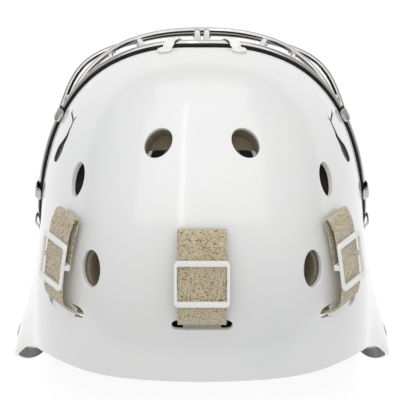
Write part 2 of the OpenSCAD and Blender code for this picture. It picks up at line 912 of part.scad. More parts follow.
// The frame lies over the webbing's upper layer. The middle bar is sunk under it, on two short posts.
module slide(s) {
    window = s[3] + 2 * strap_gap;
    w = window + 2 * slide_rail;
    post = slide_rail - 0.3;
    color(white)
        on_strap(s) {
            translate([0, 0, bar_high])
                linear_extrude(slide_t)
                    difference() {
                        rounded_plate(w, slide_l, 3);
                        rounded_plate(window, slide_l - 2 * slide_bar, 0.8);
                    }
            translate([-w / 2 + 0.1, -slide_bar / 2, bar_low])
                cube([w - 0.2, slide_bar, slide_t]);
            for (x = [-w / 2, window / 2])
                translate([x + 0.15, -slide_bar / 2 + 0.2, bar_low + 0.3])
                    cube([post, slide_bar - 0.4, bar_high - bar_low + slide_t - 0.6]);
        }
}

module crown_slide() {
    slide(crown);
}

module upper_slide_left() {
    slide(upper);
}

module upper_slide_right() {
    mirror([1, 0, 0])
        slide(upper);
}

/* Back plate */
plate_y = centre_y + plate_back;
corner_x = plate_half_w - 20;
corner_z = plate_h / 2 - 14;

// The plate's outline, with a waist at the neck, as seen from behind.
module plate_outline(inset = 0) {
    w = plate_half_w - inset;
    h = plate_h / 2 - inset;
    r = 18;
    union() {
        square([2 * w - 2 * r, 2 * h], center = true);
        square([2 * w, 2 * h - 2 * r], center = true);
        for (x = [-1, 1], y = [-1, 1])
            translate([x * (w - r), y * (h - r)])
                circle(r, $fn = 48);
    }
}

module plate_layer(inset, depth_in, depth_out) {
    // A slab cut from a ring about an upright axis ahead of the plate
    intersection() {
        translate([0, plate_y, plate_z])
            rotate([90, 0, 0])
                translate([0, 0, -20])
                    linear_extrude(120)
                        plate_outline(inset);
        translate([0, plate_y - plate_r, plate_z - plate_h])
            difference() {
                cylinder(h = 2 * plate_h, r = plate_r - depth_out, $fn = 96);
                translate([0, 0, -1])
                    cylinder(h = 2 * plate_h + 2, r = plate_r - depth_in, $fn = 96);
            }
        translate([-200, plate_y - plate_r, 0])
            cube([400, 2 * plate_r, 400]);
    }
}

module back_plate() {
    color(white)
        difference() {
            plate_layer(0, plate_t, 0);
            for (c = hubs)
                plate_corner(c)
                    cylinder(h = 20, d = 4.2, center = true, $fn = 32);
            for (x = [-1, 0, 1])
                translate([x * 24, plate_y, plate_z])
                    rotate([90, 0, 0])
                        cylinder(h = 120, d = 12, center = true, $fn = 48);
        }
}

module back_plate_pad() {
    color(foam)
        plate_layer(7, plate_t + plate_pad_t, plate_t + 0.3);
}

hubs = [
    [0, corner_z], [corner_x, corner_z], [-corner_x, corner_z],
    [corner_x, -corner_z], [-corner_x, -corner_z]
];
module plate_corner(c) {
    turn = asin(c[0] / plate_r);
    translate([0, plate_y - plate_r, plate_z + c[1]])
        rotate([0, 0, -turn])
            translate([0, plate_r, 0])
                rotate([-90, 0, 0])
                    children();
}

rivet_head = 1.6;
rivet_r = 2;
module plate_rivets() {
    color(chrome)
        for (c = hubs)
            plate_corner(c)
                rotate_extrude($fn = 32)
                    polygon([
                        [0, -plate_t - 0.1], [rivet_r, -plate_t - 0.1],
                        [rivet_r, elastic_out + elastic_t + 0.2], [4.5, elastic_out + elastic_t + 0.2],
                        [3.5, elastic_out + elastic_t + rivet_head],
                        [0, elastic_out + elastic_t + rivet_head]
                    ]);
}

/* Elastics: from the straps' inner ends and the jaw anchors to the back plate */
elastic_w = 25;
elastic_t = 1.6;
elastic_out = 0.5;
elastic_parts = 12;
anchor_dir = [-28, 115.5];
anchor_r = 2.4;
anchor_gap = 1.2;

// A run of elastic from a corner of the back plate to an end point, straight over its last stretch.
// lead points back from that end, and across is the webbing's width direction there.
module elastic(corner, end, lead, across, flat_l, lead_l) {
    turn = asin(corner[0] / plate_r);
    out = [sin(turn), cos(turn), 0];
    hub = [0, plate_y - plate_r, plate_z + corner[1]] + (plate_r + elastic_out + elastic_t / 2) * out;
    way = unit((end - hub) - out * ((end - hub) * out));
    side = unit(cross(way, out));
    start = hub + way * 7;
    stop = end + lead * flat_l;
    ctrl_a = start + way * 26;
    ctrl_b = stop + lead * lead_l;
    function at(t) =
        pow(1 - t, 3) * start + 3 * t * pow(1 - t, 2) * ctrl_a
        + 3 * t * t * (1 - t) * ctrl_b + pow(t, 3) * stop;
    pts = concat([hub - way * 7], [for (i = [0:elastic_parts]) at(i / elastic_parts)], [end]);
    n = len(pts) - 1;
    flip = side * across > 0 ? 1 : -1;
    color(cream)
        difference() {
            tube_solid([
                for (i = [0:n])
                let (
                    t = sat((i - 1) / elastic_parts),
                    along = unit(pts[min(n, i + 1)] - pts[max(0, i - 1)]),
                    wide = mix(side, flip * across, ease(t)),
                    s = unit(wide - along * (wide * along)) * elastic_w / 2,
                    up = unit(cross(s, along)) * elastic_t / 2
                )
                [pts[i] - s + up, pts[i] + s + up, pts[i] + s - up, pts[i] - s - up]
            ]);
            plate_corner(corner)
                cylinder(h = 12, r = rivet_r + 0.05, center = true, $fn = 32);
        }
}

// The free end of a strap inside its slot, in the shell's frame.
module strap_elastic(s) {
    m = strap_mid(s);
    y = strap_along(s);
    z = strap_normal(s);
    path = strap_path(s);
    way = unit(path[0] - path[1]);
    end = form(m[0], m[1]) + y * path[0][0] + z * path[0][1] + (y * way[0] + z * way[1]) * 0.3;
    elastic([s[2][0] * corner_x, s[2][1] * corner_z], end, y * way[0] + z * way[1], cross(y, z), 4, 16);
}

module jaw_elastic() {
    z = normal(anchor_dir[0], anchor_dir[1]);
    to_rim = form(anchor_dir[0], anchor_dir[1] + 3) - form(anchor_dir[0], anchor_dir[1]);
    back = unit(to_rim - z * (to_rim * z));
    hole = on_form(anchor_dir[0], anchor_dir[1], -wall - anchor_gap - elastic_t / 2);
    difference() {
        elastic([corner_x, -corner_z], hole - back * 8, back, cross(z, back), 15, 10);
        seat(anchor_dir[0], anchor_dir[1])
            cylinder(h = 40, r = anchor_r + 0.05, center = true, $fn = 32);
    }
}

module jaw_anchors() {
    low = -wall - anchor_gap - elastic_t - 0.2;
    color(white)
        both_sides()
            seat(anchor_dir[0], anchor_dir[1])
                rotate_extrude($fn = 40)
                    polygon([
                        [0, low - 1.8], [5, low - 1.8], [6, low - 1], [6, low], [anchor_r, low],
                        [anchor_r, 0.4],
                        [6, 0.4], [5, 1.2], [0, 1.2]
                    ]);
}

module crown_elastic() {
    strap_elastic(crown);
}

module upper_elastic_left() {
    strap_elastic(upper);
}

module upper_elastic_right() {
    mirror([1, 0, 0])
        strap_elastic(upper);
}

module lower_elastic_left() {
    jaw_elastic();
}

module lower_elastic_right() {
    mirror([1, 0, 0])
        jaw_elastic();
}

/* Chin cup */
stud_r = 2;
cup_y = centre_y - 62;
cup_z = 52;
// The outer wall at the studs' place, found by moving a target until the form lands there.
function wall_at(y, z, q, n = 12) =
    let (
        d = [atan2(q[2], q[0]), acos(-q[1] / norm(q))],
        p = form(d[0], d[1])
    )
    n == 0 ? p : wall_at(y, z, [p[0], q[1] + y - p[1], q[2] + z - p[2]], n - 1);
stud_x = wall_at(centre_y + stud_y, stud_z, [half_w, stud_y, stud_z - centre_z])[0];
sling_t = 1.6;
sling_in = 12.5;

module stud_place() {
    translate([stud_x, centre_y + stud_y, stud_z])
        rotate([0, 90, 0])
            children();
}

module snap_studs() {
    inner = -sling_in - sling_t / 2 - 0.1;
    color(chrome)
        both_sides()
            stud_place()
                rotate_extrude($fn = 40)
                    polygon([
                        [0, inner - 1.6], [3.4, inner - 1.6], [4, inner - 1], [4, inner], [stud_r, inner],
                        [stud_r, inner + sling_t + 0.2], [3, inner + sling_t + 0.2], [3, -wall - 2.6],
                        [stud_r, -wall - 2.6], [stud_r, 2.2], [4, 2.2], [3.2, 3.4], [0, 3.4]
                    ]);
}

module chin_cup() {
    color(white)
        translate([0, cup_y, cup_z])
            rotate([0, 0, 180])
                rotate_extrude(angle = 180, $fn = 96)
                    polygon([
                        [cup_r, -cup_h / 2], [cup_r + cup_t, -cup_h / 2],
                        [cup_r + cup_t + 2, 0], [cup_r + cup_t, cup_h / 2], [cup_r, cup_h / 2],
                        [cup_r + 2, 0]
                    ]);
}

module chin_cup_pad() {
    color(foam)
        translate([0, cup_y, cup_z])
            rotate([0, 0, 188])
                rotate_extrude(angle = 164, $fn = 96)
                    polygon([
                        [cup_r - 0.3 - cup_pad_t * 0.6, -cup_h / 2 + 2], [cup_r - 0.3, -cup_h / 2 + 2],
                        [cup_r + 1.7, 0], [cup_r - 0.3, cup_h / 2 - 2],
                        [cup_r - 0.3 - cup_pad_t * 0.6, cup_h / 2 - 2], [cup_r - 0.3 - cup_pad_t, 0]
                    ]);
}

// A strap from the cup to the stud: a flat tab at each end and a slanted run between them.
module chin_sling() {
    top = [stud_x - sling_in, centre_y + stud_y, stud_z];
    low = [cup_r + cup_t + 2 + sling_t / 2 + 0.3, cup_y + 4, cup_z];
    way = unit([0, low[1] - top[1], low[2] - top[2]]);
    places = [top, top + way * 15, low - way * 15, low];
    widths = [16, 16, 18, 18];
    color(cream)
        difference() {
            union()
                for (i = [0:2])
                    hull()
                        for (k = [i, i + 1])
                            translate(places[k])
                                rotate([0, 90, 0])
                                    cylinder(h = sling_t, d = widths[k], center = true, $fn = 32);
            stud_place()
                cylinder(h = 40, r = stud_r + 0.06, center = true, $fn = 48);
        }
}

module chin_sling_left() {
    chin_sling();
}

module chin_sling_right() {
    mirror([1, 0, 0])
        chin_sling();
}

shell();
face_gasket();
cage();
top_clips();
side_clips();
chin_clips();
cage_screws();
cage_nuts();
throat_eyelets();
forehead_pad();
sweatband();
crown_pad();
temple_pad_left();
temple_pad_right();
side_pad_left();
side_pad_right();
jaw_pad_left();
jaw_pad_right();
chin_bumper();
crown_strap();
upper_strap_left();
upper_strap_right();
crown_slide();
upper_slide_left();
upper_slide_right();
crown_elastic();
upper_elastic_left();
upper_elastic_right();
lower_elastic_left();
lower_elastic_right();
jaw_anchors();
back_plate();
back_plate_pad();
plate_rivets();
chin_cup();
chin_cup_pad();
chin_sling_left();
chin_sling_right();
snap_studs();
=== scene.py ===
import math

import bpy
import bmesh
import numpy as np
from mathutils import Matrix, Vector


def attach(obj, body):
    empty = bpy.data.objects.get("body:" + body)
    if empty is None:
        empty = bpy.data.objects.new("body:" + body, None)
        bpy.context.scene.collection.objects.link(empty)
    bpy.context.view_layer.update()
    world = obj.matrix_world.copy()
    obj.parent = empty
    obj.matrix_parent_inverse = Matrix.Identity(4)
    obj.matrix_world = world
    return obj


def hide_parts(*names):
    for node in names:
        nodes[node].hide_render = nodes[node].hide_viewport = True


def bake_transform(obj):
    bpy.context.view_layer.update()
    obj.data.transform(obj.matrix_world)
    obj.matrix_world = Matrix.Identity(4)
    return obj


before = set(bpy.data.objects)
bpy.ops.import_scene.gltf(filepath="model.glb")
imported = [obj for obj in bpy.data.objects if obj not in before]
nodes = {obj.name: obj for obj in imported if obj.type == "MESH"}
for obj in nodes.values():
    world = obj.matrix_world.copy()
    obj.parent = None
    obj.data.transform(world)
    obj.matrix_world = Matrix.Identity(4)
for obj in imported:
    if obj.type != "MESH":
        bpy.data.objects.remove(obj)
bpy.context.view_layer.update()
scene = bpy.context.scene
print("frame loaded:", len(nodes), "nodes")

# the moulded form, in millimetres, as in the part's source
maskForm = {
    "halfW": 108.5, "frontL": 127, "rearL": 200, "crownH": 146, "underH": 250,
    "centre": (0, 12, 150), "square": 2.5, "crownDrop": 62, "jawFlare": 0.43,
    "chinNarrow": 0.4, "chinOut": 14, "wall": 3.5,
}
middle = Vector(maskForm["centre"]) / 1000
# the edge under the gasket and the rear rim, as turn and sweep in degrees
faceKeys = [
    (90, 44.5), (75, 45), (61, 47.8), (50, 51.5), (41, 57), (33, 65), (24, 75.5), (12, 83.5), (0, 87),
    (-12, 86), (-22, 80.5), (-30, 71), (-37, 59.5), (-45, 50), (-55, 42.8), (-67, 38), (-79, 35.8), (-90, 35.2),
]
rimKeys = [
    (90, 130.5), (76, 129.8), (63, 128.6), (51, 127.2), (39, 126.3), (27, 125.9), (14, 125.9), (0, 125.6),
    (-14, 125), (-27, 122.8), (-38, 119.5), (-47, 115.5), (-54, 110.8), (-59, 104.5), (-54.5, 94), (-53.5, 79),
    (-66, 62.5), (-90, 54.5),
]


def ease(t):
    c = np.clip(t, 0, 1)
    return c * c * (3 - 2 * c)


def unit(v):
    v = np.asarray(v, float)
    return v / np.maximum(np.linalg.norm(v, axis=-1, keepdims=True), 1e-12)


def dot(a, b):
    return (a * b).sum(-1)


def form(d):
    f = maskForm
    d = np.asarray(d, float)
    t, s = np.radians(d[..., 0]), np.radians(d[..., 1])
    ux, uy, uz = np.sin(s) * np.cos(t), -np.cos(s), np.sin(s) * np.sin(t)
    reachY = np.where(uy < 0, f["frontL"], f["rearL"])
    reachZ = np.where(uz > 0, f["crownH"], f["underH"])
    k = f["square"]
    r = (abs(ux / f["halfW"]) ** k + abs(uy / reachY) ** k + abs(uz / reachZ) ** k) ** (-1 / k)
    x, y, z = r * ux, r * uy, r * uz
    low, ahead = ease(-z / 150), ease((45 - y) / 150)
    q = (y + 13) / 24
    ramp = np.where(q <= 0, 0, np.where(q >= 1, q - 0.5, np.clip(q, 0, 1) ** 2 / 2))
    flare = f["jawFlare"] * 24 * ramp * (0.3 + 0.55 * ease((50 - z) / 110))
    drop = f["crownDrop"] * (np.maximum(y + 5, 0) / 110) ** 2 * ease((z + 90) / 140)
    cx, cy, cz = f["centre"]
    return np.stack([
        x * (1 - f["chinNarrow"] * low * ahead) + np.tanh(x / 45) * flare + cx,
        y - f["chinOut"] * low * ahead + cy,
        z - drop + cz,
    ], -1)


def partials(d, step=0.2):
    # the point and the form's slopes by turn and by sweep, taken to either side
    return form(d), *[(form(d + v) - form(d - v)) / (2 * step) for v in (np.array([step, 0]), np.array([0, step]))]


def normalAt(d):
    p, byTurn, bySweep = partials(np.asarray(d, float))
    return unit(np.cross(bySweep, byTurn))


def onForm(d, out):
    d = np.asarray(d, float)
    out = np.asarray(out, float)
    return form(d) + out[..., None] * normalAt(d)


def loopOf(keys):
    keys = [tuple(map(float, k)) for k in keys]
    return np.array(keys + [(-180 - a, b) for a, b in keys[-2:0:-1]])


faceLoop, rimLoop = loopOf(faceKeys), loopOf(rimKeys)
steps = len(faceLoop)
ringColumns, shellRows = steps * 12, 46


def spline(p, q, r, s, t):
    return q + 0.5 * t * (r - p + t * (2 * p - 5 * q + 4 * r - s + t * (3 * (q - r) + s - p)))


def curveAt(keys, place):
    place = np.asarray(place, float)
    n = len(keys)
    i = np.floor(place).astype(int)
    t = (place - i)[..., None]

    def key(j):
        k = keys[j % n].copy()
        k[..., 0] -= 360.0 * (j // n)
        return k
    return spline(key(i - 1), key(i), key(i + 1), key(i + 2), t)


def openCurve(keys, n):
    k = np.array(keys, float)
    k = np.vstack([2 * k[0] - k[1], k, 2 * k[-1] - k[-2]])
    place = np.linspace(0, len(keys) - 1, n)
    i = np.minimum(place.astype(int), len(keys) - 2)
    return spline(k[i], k[i + 1], k[i + 2], k[i + 3], (place - i)[:, None])


def shift(d, way):
    # the change of turn and sweep that moves a point on the form by the vector way
    p, a, b = partials(d)
    aa, ab, bb, wa, wb = dot(a, a), dot(a, b), dot(b, b), dot(way, a), dot(way, b)
    det = aa * bb - ab * ab
    return np.stack([(wa * bb - wb * ab) / det, (wb * aa - wa * ab) / det], -1)


def fromEdge(place, dist):
    # a direction at a distance from the gasket's edge, square to it, positive towards the rim
    f = curveAt(faceLoop, place)
    p, a, b = partials(f)
    place = np.asarray(place, float)
    ahead = form(curveAt(faceLoop, place + 0.03)) - form(curveAt(faceLoop, place - 0.03))
    way = unit(np.cross(np.cross(b, a), ahead))
    return f + shift(f, way) * np.asarray(dist, float)[..., None]


def seat(d, ahead):
    # origin and axes on the form: x across, y towards the face opening, z outwards
    z = normalAt(d)
    y = unit(ahead - z * dot(ahead, z))
    return form(d), np.cross(y, z), y, z


def seatAt(turn, sweep):
    d = np.array([turn, sweep], float)
    return seat(d, form(d - [0, 0.4]) - form(d + [0, 0.4]))


def edgeSeat(place, dist):
    d = fromEdge(place, dist)
    return seat(d, form(fromEdge(place, dist - 4)) - form(d))


def link(obj):
    scene.collection.objects.link(obj)
    return obj


def makeMesh(name, verts, faces, materials=(), index=None, edges=()):
    mesh = bpy.data.meshes.new(name)
    points = (np.asarray(verts, float) / 1000).tolist()
    mesh.from_pydata(points, list(edges), [list(map(int, f)) for f in faces])
    for m in materials:
        mesh.materials.append(m)
    if index is not None:
        mesh.polygons.foreach_set("material_index", np.asarray(index, np.int32))
    mesh.polygons.foreach_set("use_smooth", [True] * len(mesh.polygons))
    mesh.update()
    return link(bpy.data.objects.new(name, mesh))


def gridFaces(rows, cols, closedRows=False, closedCols=False):
    last = [n if closed else n - 1 for n, closed in ((rows, closedRows), (cols, closedCols))]
    i, j = [a.ravel() for a in np.meshgrid(np.arange(last[0]), np.arange(last[1]), indexing="ij")]
    i2, j2 = (i + 1) % rows, (j + 1) % cols
    return np.stack([i * cols + j, i * cols + j2, i2 * cols + j2, i2 * cols + j], -1)


def tubeFaces(n, m):
    # rings of m points along n places, with a cap at each end
    return gridFaces(n, m, False, True).tolist() + [list(range(m))[::-1], [(n - 1) * m + k for k in range(m)]]


def strung(ring):
    # lines of points side by side, as one list that runs round each ring in turn
    return np.stack(ring, 1).reshape(-1, 3)


def runOf(path):
    return np.concatenate([[0], np.cumsum(np.linalg.norm(np.diff(path, axis=0), axis=1))])


def fetch(items, key, width=3, kind=float):
    values = np.zeros(len(items) * width, kind)
    items.foreach_get(key, values)
    return values.reshape(-1, width) if width > 1 else values


def bake(obj):
    # the evaluated result as a plain mesh, with the modifiers gone
    dg = bpy.context.evaluated_depsgraph_get()
    mesh = bpy.data.meshes.new_from_object(obj.evaluated_get(dg), depsgraph=dg)
    obj.modifiers.clear()
    obj.data = mesh
    return obj


def edited(obj, *steps):
    bm = bmesh.new()
    bm.from_mesh(obj.data)
    for step in steps:
        step(bm)
    bm.to_mesh(obj.data)
    bm.free()
    return obj


def outward(obj):
    return edited(obj, lambda bm: bmesh.ops.recalc_face_normals(bm, faces=bm.faces))


def modifier(obj, kind, **values):
    m = obj.modifiers.new(kind.title(), kind)
    for k, v in values.items():
        setattr(m, k, v)
    return m


def cut(obj, *tools, **how):
    for tool in tools:
        modifier(obj, "BOOLEAN", operation="DIFFERENCE", object=tool, solver="EXACT", **how)
    bake(obj)
    for tool in tools:
        bpy.data.objects.remove(tool)
    return obj


def bevel(obj, width, segments, angle):
    limit = math.radians(angle)
    modifier(obj, "BEVEL", width=width / 1000, segments=segments, limit_method="ANGLE", angle_limit=limit)
    return bake(obj)


def mirrored(obj):
    obj.data.transform(Matrix.Diagonal((-1, 1, 1, 1)))
    obj.data.flip_normals()
    return obj


def boxTool(name, across, along, high, axes=(np.zeros(3), *np.eye(3)), materials=()):
    o, x, y, z = axes
    verts = [o + x * a + y * b + z * c for a in across for b in along for c in high]
    faces = [(0, 1, 3, 2), (4, 6, 7, 5), (0, 4, 5, 1), (2, 3, 7, 6), (0, 2, 6, 4), (1, 5, 7, 3)]
    return outward(makeMesh(name, verts, faces, materials))


def smoothBy(obj, angle):
    obj.data.polygons.foreach_set("use_smooth", [True] * len(obj.data.polygons))
    obj.data.set_sharp_from_angle(angle=math.radians(angle))
    return obj


def cadCopy(name):
    # a clean mesh of a CAD node: doubles merged and flat faces joined
    obj = link(bpy.data.objects.new(name + "_look", nodes[name].data.copy()))
    edited(obj, lambda bm: bmesh.ops.remove_doubles(bm, verts=bm.verts, dist=1e-6),
           lambda bm: bmesh.ops.dissolve_limit(bm, angle_limit=math.radians(0.5), verts=bm.verts, edges=bm.edges))
    obj.data.materials.clear()
    return obj


def finished(obj, body, slot, material, *stoodFor):
    if material is not None:
        obj.data.materials.clear()
        obj.data.materials.append(material)
    if body is not None:
        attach(obj, body)
    if stoodFor:
        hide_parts(*stoodFor)
    return obj


def plug(tree, value, socket):
    if isinstance(value, bpy.types.NodeSocket):
        tree.links.new(value, socket)
    else:
        socket.default_value = value


def addNode(tree, kind, inputs=None, **props):
    n = tree.nodes.new(kind)
    for k, v in props.items():
        setattr(n, k, v)
    for k, v in (inputs or {}).items():
        plug(tree, v, n.inputs[k])
    return n


class shader:
    # a small helper that lays nodes into one material
    def __init__(self, name, **base):
        self.mat = bpy.data.materials.new(name)
        self.mat.use_nodes = True
        self.tree = self.mat.node_tree
        self.base = self.tree.nodes["Principled BSDF"]
        for k, v in base.items():
            self.base.inputs[k.replace("_", " ")].default_value = v
        self.coord = self.tree.nodes.new("ShaderNodeTexCoord")

    def add(self, kind, inputs=None, **props):
        return addNode(self.tree, "ShaderNode" + kind, inputs, **props)

    def place(self, scale=(1, 1, 1), turn=(0, 0, 0), source="Object"):
        inputs = {"Vector": self.coord.outputs[source], "Scale": scale, "Rotation": turn}
        return self.add("Mapping", inputs).outputs["Vector"]

    def noise(self, scale, detail=4, rough=0.5, vector=None):
        at = vector or self.coord.outputs["Object"]
        return self.add("TexNoise", {"Vector": at, "Scale": scale, "Detail": detail, "Roughness": rough}).outputs["Fac"]

    def wave(self, scale, distortion, detail=2.0, turn=(0, 0, 0), source="Object", way="X"):
        at = self.place(turn=turn, source=source)
        inputs = {"Vector": at, "Scale": scale, "Distortion": distortion, "Detail": detail}
        return self.add("TexWave", inputs, bands_direction=way).outputs["Fac"]

    def ramp(self, value, low, high, a, b):
        inputs = {"Value": value, "From Min": low, "From Max": high, "To Min": a, "To Max": b}
        return self.add("MapRange", inputs).outputs["Result"]

    def colours(self, value, *stops):
        n = self.add("ValToRGB", {"Fac": value})
        while len(n.color_ramp.elements) < len(stops):
            n.color_ramp.elements.new(0.5)
        for e, (at, c) in zip(n.color_ramp.elements, stops):
            e.position, e.color = at, (*c, 1)
        return n.outputs["Color"]

    def mix(self, factor, a, b):
        a, b = [(*v, 1) if isinstance(v, tuple) else v for v in (a, b)]
        return self.add("Mix", {0: factor, 6: a, 7: b}, data_type="RGBA").outputs[2]

    def math(self, how, a, b=0.0):
        return self.add("Math", {0: a, 1: b}, operation=how).outputs[0]

    def bump(self, height, strength, distance):
        return self.add("Bump", {"Height": height, "Strength": strength, "Distance": distance}).outputs["Normal"]

    def done(self, colour, rough, normal=None):
        for k, v in (("Base Color", colour), ("Roughness", rough), ("Normal", normal)):
            if v is not None:
                self.tree.links.new(v, self.base.inputs[k])
        return self.mat


def paintMaterial():
    # gloss white lacquer over the moulding, with orange peel and faint rub marks
    look = {"white": (0.765, 0.77, 0.755), "cool": (0.735, 0.745, 0.745), "peel": 900, "rub": 55}
    s = shader("shellPaint", IOR=1.5, Coat_Weight=0.6, Coat_Roughness=0.06, Specular_IOR_Level=0.5)
    tone = s.colours(s.noise(9, 3), (0.35, look["white"]), (0.7, look["cool"]))
    rub = s.noise(look["rub"], 6, 0.65, s.place((1, 0.12, 1)))
    rough = s.ramp(rub, 0.45, 0.75, 0.16, 0.27)
    peel = s.bump(s.noise(look["peel"], 2), 0.05, 0.0004)
    return s.done(tone, rough, peel)


def insideMaterial():
    # the unpainted back of the laminate: dark resin over woven cloth
    s = shader("laminateInside", Coat_Weight=0.15, Coat_Roughness=0.35)
    weave = s.math("MULTIPLY", *[s.wave(130.0, 0.6, 1.0, (0, 0.6, turn)) for turn in (0.785, -0.785)])
    tone = s.colours(weave, (0.1, (0.012, 0.012, 0.011)), (0.8, (0.05, 0.048, 0.042)))
    resin = s.ramp(s.noise(60, 4), 0.3, 0.7, 0.42, 0.6)
    return s.done(tone, resin, s.bump(weave, 0.35, 0.0005))


def chromeMaterial(name, tone, rough=(0.07, 0.22), grain=300):
    s = shader(name, Metallic=1.0)
    dull = s.ramp(s.noise(grain, 5, 0.6), 0.4, 0.75, *rough)
    c = s.colours(s.noise(70, 3), (0.3, tone), (0.75, tuple(0.86 * v for v in tone)))
    return s.done(c, dull, s.bump(s.noise(grain * 5, 2), 0.04, 0.0002))


def rubberMaterial():
    s = shader("gasketRubber", Specular_IOR_Level=0.2)
    c = s.colours(s.noise(240, 4), (0.3, (0.006, 0.006, 0.0065)), (0.8, (0.018, 0.018, 0.0185)))
    return s.done(c, s.ramp(s.noise(120, 3), 0.3, 0.8, 0.45, 0.72), s.bump(s.noise(1800, 3), 0.25, 0.0003))


def foamMaterial(name, light, dark, pore=900):
    # closed-cell foam with cut cells
    s = shader(name, Specular_IOR_Level=0.15)
    cell = s.add("TexVoronoi", {"Vector": s.coord.outputs["Object"], "Scale": float(pore)}).outputs["Distance"]
    blotch = s.noise(45, 4)
    c = s.mix(s.ramp(cell, 0.1, 0.55, 1.0, 0.25), light, dark)
    c = s.mix(s.ramp(blotch, 0.35, 0.7, 0.0, 0.5), c, dark)
    return s.done(c, s.ramp(blotch, 0, 1, 0.8, 0.95), s.bump(cell, 0.5, 0.0005))


def clothMaterial(name, light, dark, rib=1500, sheen=0.25):
    # knitted cover cloth: fine crossing ribs
    s = shader(name, Specular_IOR_Level=0.15, Sheen_Weight=sheen, Sheen_Roughness=0.5)
    knit = s.math("MULTIPLY", *[s.wave(rib / 6, 0.8, turn=turn) for turn in ((0, 0, 0), (1.2, 0.9, 1.57))])
    c = s.mix(s.ramp(knit, 0.1, 0.7, 0.0, 1.0), dark, light)
    c = s.mix(s.ramp(s.noise(35, 4), 0.4, 0.7, 0.0, 0.35), c, dark)
    return s.done(c, s.ramp(knit, 0, 1, 0.95, 0.8), s.bump(knit, 0.4, 0.0004))


def pileMaterial():
    # brushed loop pile in unbleached yarn, with painted shade deep between the loops and painted highlights on their
    # tips
    look = {"yarn": (0.92, 0.76, 0.46), "rootShade": (0.13, 0.075, 0.03), "tipHighlight": (1.0, 0.95, 0.78)}
    s = shader("loopPile", Specular_IOR_Level=0.1, Sheen_Weight=0.9, Sheen_Roughness=0.35)
    tuft = s.noise(900, 3, 0.65)
    height = s.add("Attribute", attribute_name="tuft").outputs["Fac"]
    # fine noise paints shade between the loops and highlights on their tips over the yarn's own colour
    c = s.colours(tuft, (0.36, look["rootShade"]), (0.46, look["yarn"]), (0.58, look["tipHighlight"]))
    c = s.mix(s.ramp(s.noise(110), 0.45, 0.75, 0.0, 0.15), c, look["rootShade"])
    # painted shade towards the foot of each loop and on the webbing under the loops
    c = s.mix(s.ramp(height, 0.02, 0.42, 0.42, 0.0), c, look["rootShade"])
    return s.done(c, s.ramp(tuft, 0.2, 0.8, 0.98, 0.85), s.bump(tuft, 0.9, 0.0012))


def elasticMaterial():
    # woven elastic: ribs along the run, picks across it, read from the piece's own UV
    s = shader("wovenElastic", Specular_IOR_Level=0.2, Sheen_Weight=0.2)
    rib, pick = s.wave(90.0, 0.0, source="UV"), s.wave(160.0, 0.4, source="UV", way="Y")
    weave = s.math("ADD", s.math("MULTIPLY", rib, 0.65), s.math("MULTIPLY", pick, 0.35))
    c = s.colours(weave, (0.1, (0.55, 0.53, 0.47)), (0.8, (0.86, 0.85, 0.8)))
    c = s.mix(s.ramp(s.noise(60, 4), 0.5, 0.8, 0.0, 0.3), c, (0.5, 0.47, 0.4))
    return s.done(c, s.ramp(weave, 0, 1, 0.92, 0.75), s.bump(weave, 0.6, 0.0005))


def plasticMaterial(name, tone=(0.84, 0.845, 0.83), rough=(0.28, 0.42), grain=1400):
    s = shader(name, IOR=1.49, Specular_IOR_Level=0.5)
    c = s.colours(s.noise(50, 3), (0.3, tone), (0.75, tuple(0.94 * v for v in tone)))
    return s.done(c, s.ramp(s.noise(90, 5), 0.35, 0.7, *rough), s.bump(s.noise(grain, 3), 0.08, 0.0003))


mats = {
    "paint": paintMaterial(),
    "inside": insideMaterial(),
    "wire": chromeMaterial("chromeWire", (0.56, 0.55, 0.535)),
    "steel": chromeMaterial("platedSteel", (0.52, 0.515, 0.505), (0.14, 0.32), 420),
    "rubber": rubberMaterial(),
    "foam": foamMaterial("liningFoam", (0.3, 0.25, 0.175), (0.17, 0.14, 0.095)),
    "darkFoam": foamMaterial("templeFoam", (0.1, 0.08, 0.06), (0.05, 0.04, 0.03)),
    "greyFoam": foamMaterial("chinFoam", (0.06, 0.06, 0.06), (0.03, 0.03, 0.03), 1100),
    "cover": clothMaterial("padCover", (0.035, 0.035, 0.038), (0.012, 0.012, 0.013)),
    "towel": clothMaterial("sweatTowel", (0.07, 0.07, 0.075), (0.02, 0.02, 0.022), 900, 0.6),
    "pile": pileMaterial(),
    "elastic": elasticMaterial(),
    "white": plasticMaterial("slidePlastic"),
    # the temple recess and its fork creases: dark grey painted shade on the cut faces
    "recess": plasticMaterial("recessPaintedShade", (0.075, 0.072, 0.07), (0.4, 0.6), 900),
    "shellPlastic": plasticMaterial("platePlastic", (0.78, 0.78, 0.76), (0.38, 0.55), 900),
}
print("materials ready")

vents = [(79, 78.5, -32, 21, 16.5), (54.8, 85, -14, 22.5, 13.5), (62.5, 108, 0, 25, 14)]
earHoles = [(90 - s * (96 + 4.5 * k), 104) for s in (-1, 1) for k in (-1, 0, 1)]
eyelets = [(-90 + s * 13, 50) for s in (-1, 1)]
clipPlaces = {"top": [0.55, steps - 0.55], "side": [4.5, 6.5, 8, steps - 4.5, steps - 6.5, steps - 8],
              "chin": [15.5, steps - 15.5]}
# flange, gasket and cage sizes round the face
flangeSet = {"w": 15.5, "d": 2.2, "gap": 0.4, "gasketW": 2.5, "frameD": 4.8, "barD": 4.0, "bulge": 6.0,
             "shoulder": 7.0}
frameIn = 0.4 + flangeSet["gasketW"] + flangeSet["gap"] + flangeSet["frameD"] / 2
frameOut = flangeSet["frameD"] / 2 + flangeSet["gap"] - flangeSet["d"]
clipSet = {"w": 9.0, "t": 1.2, "screwD": 3.0, "headD": 5.4, "headH": 1.8, "shank": 12.5}
clipOver = frameOut + flangeSet["frameD"] / 2 + flangeSet["gap"] + 0.3
clipRest = flangeSet["gap"] - flangeSet["d"]
clipSide = frameIn + flangeSet["frameD"] / 2 + 0.75 + clipSet["t"] / 2
screwIn = clipSide + clipSet["t"] / 2 + 0.2 + clipSet["headD"] / 2

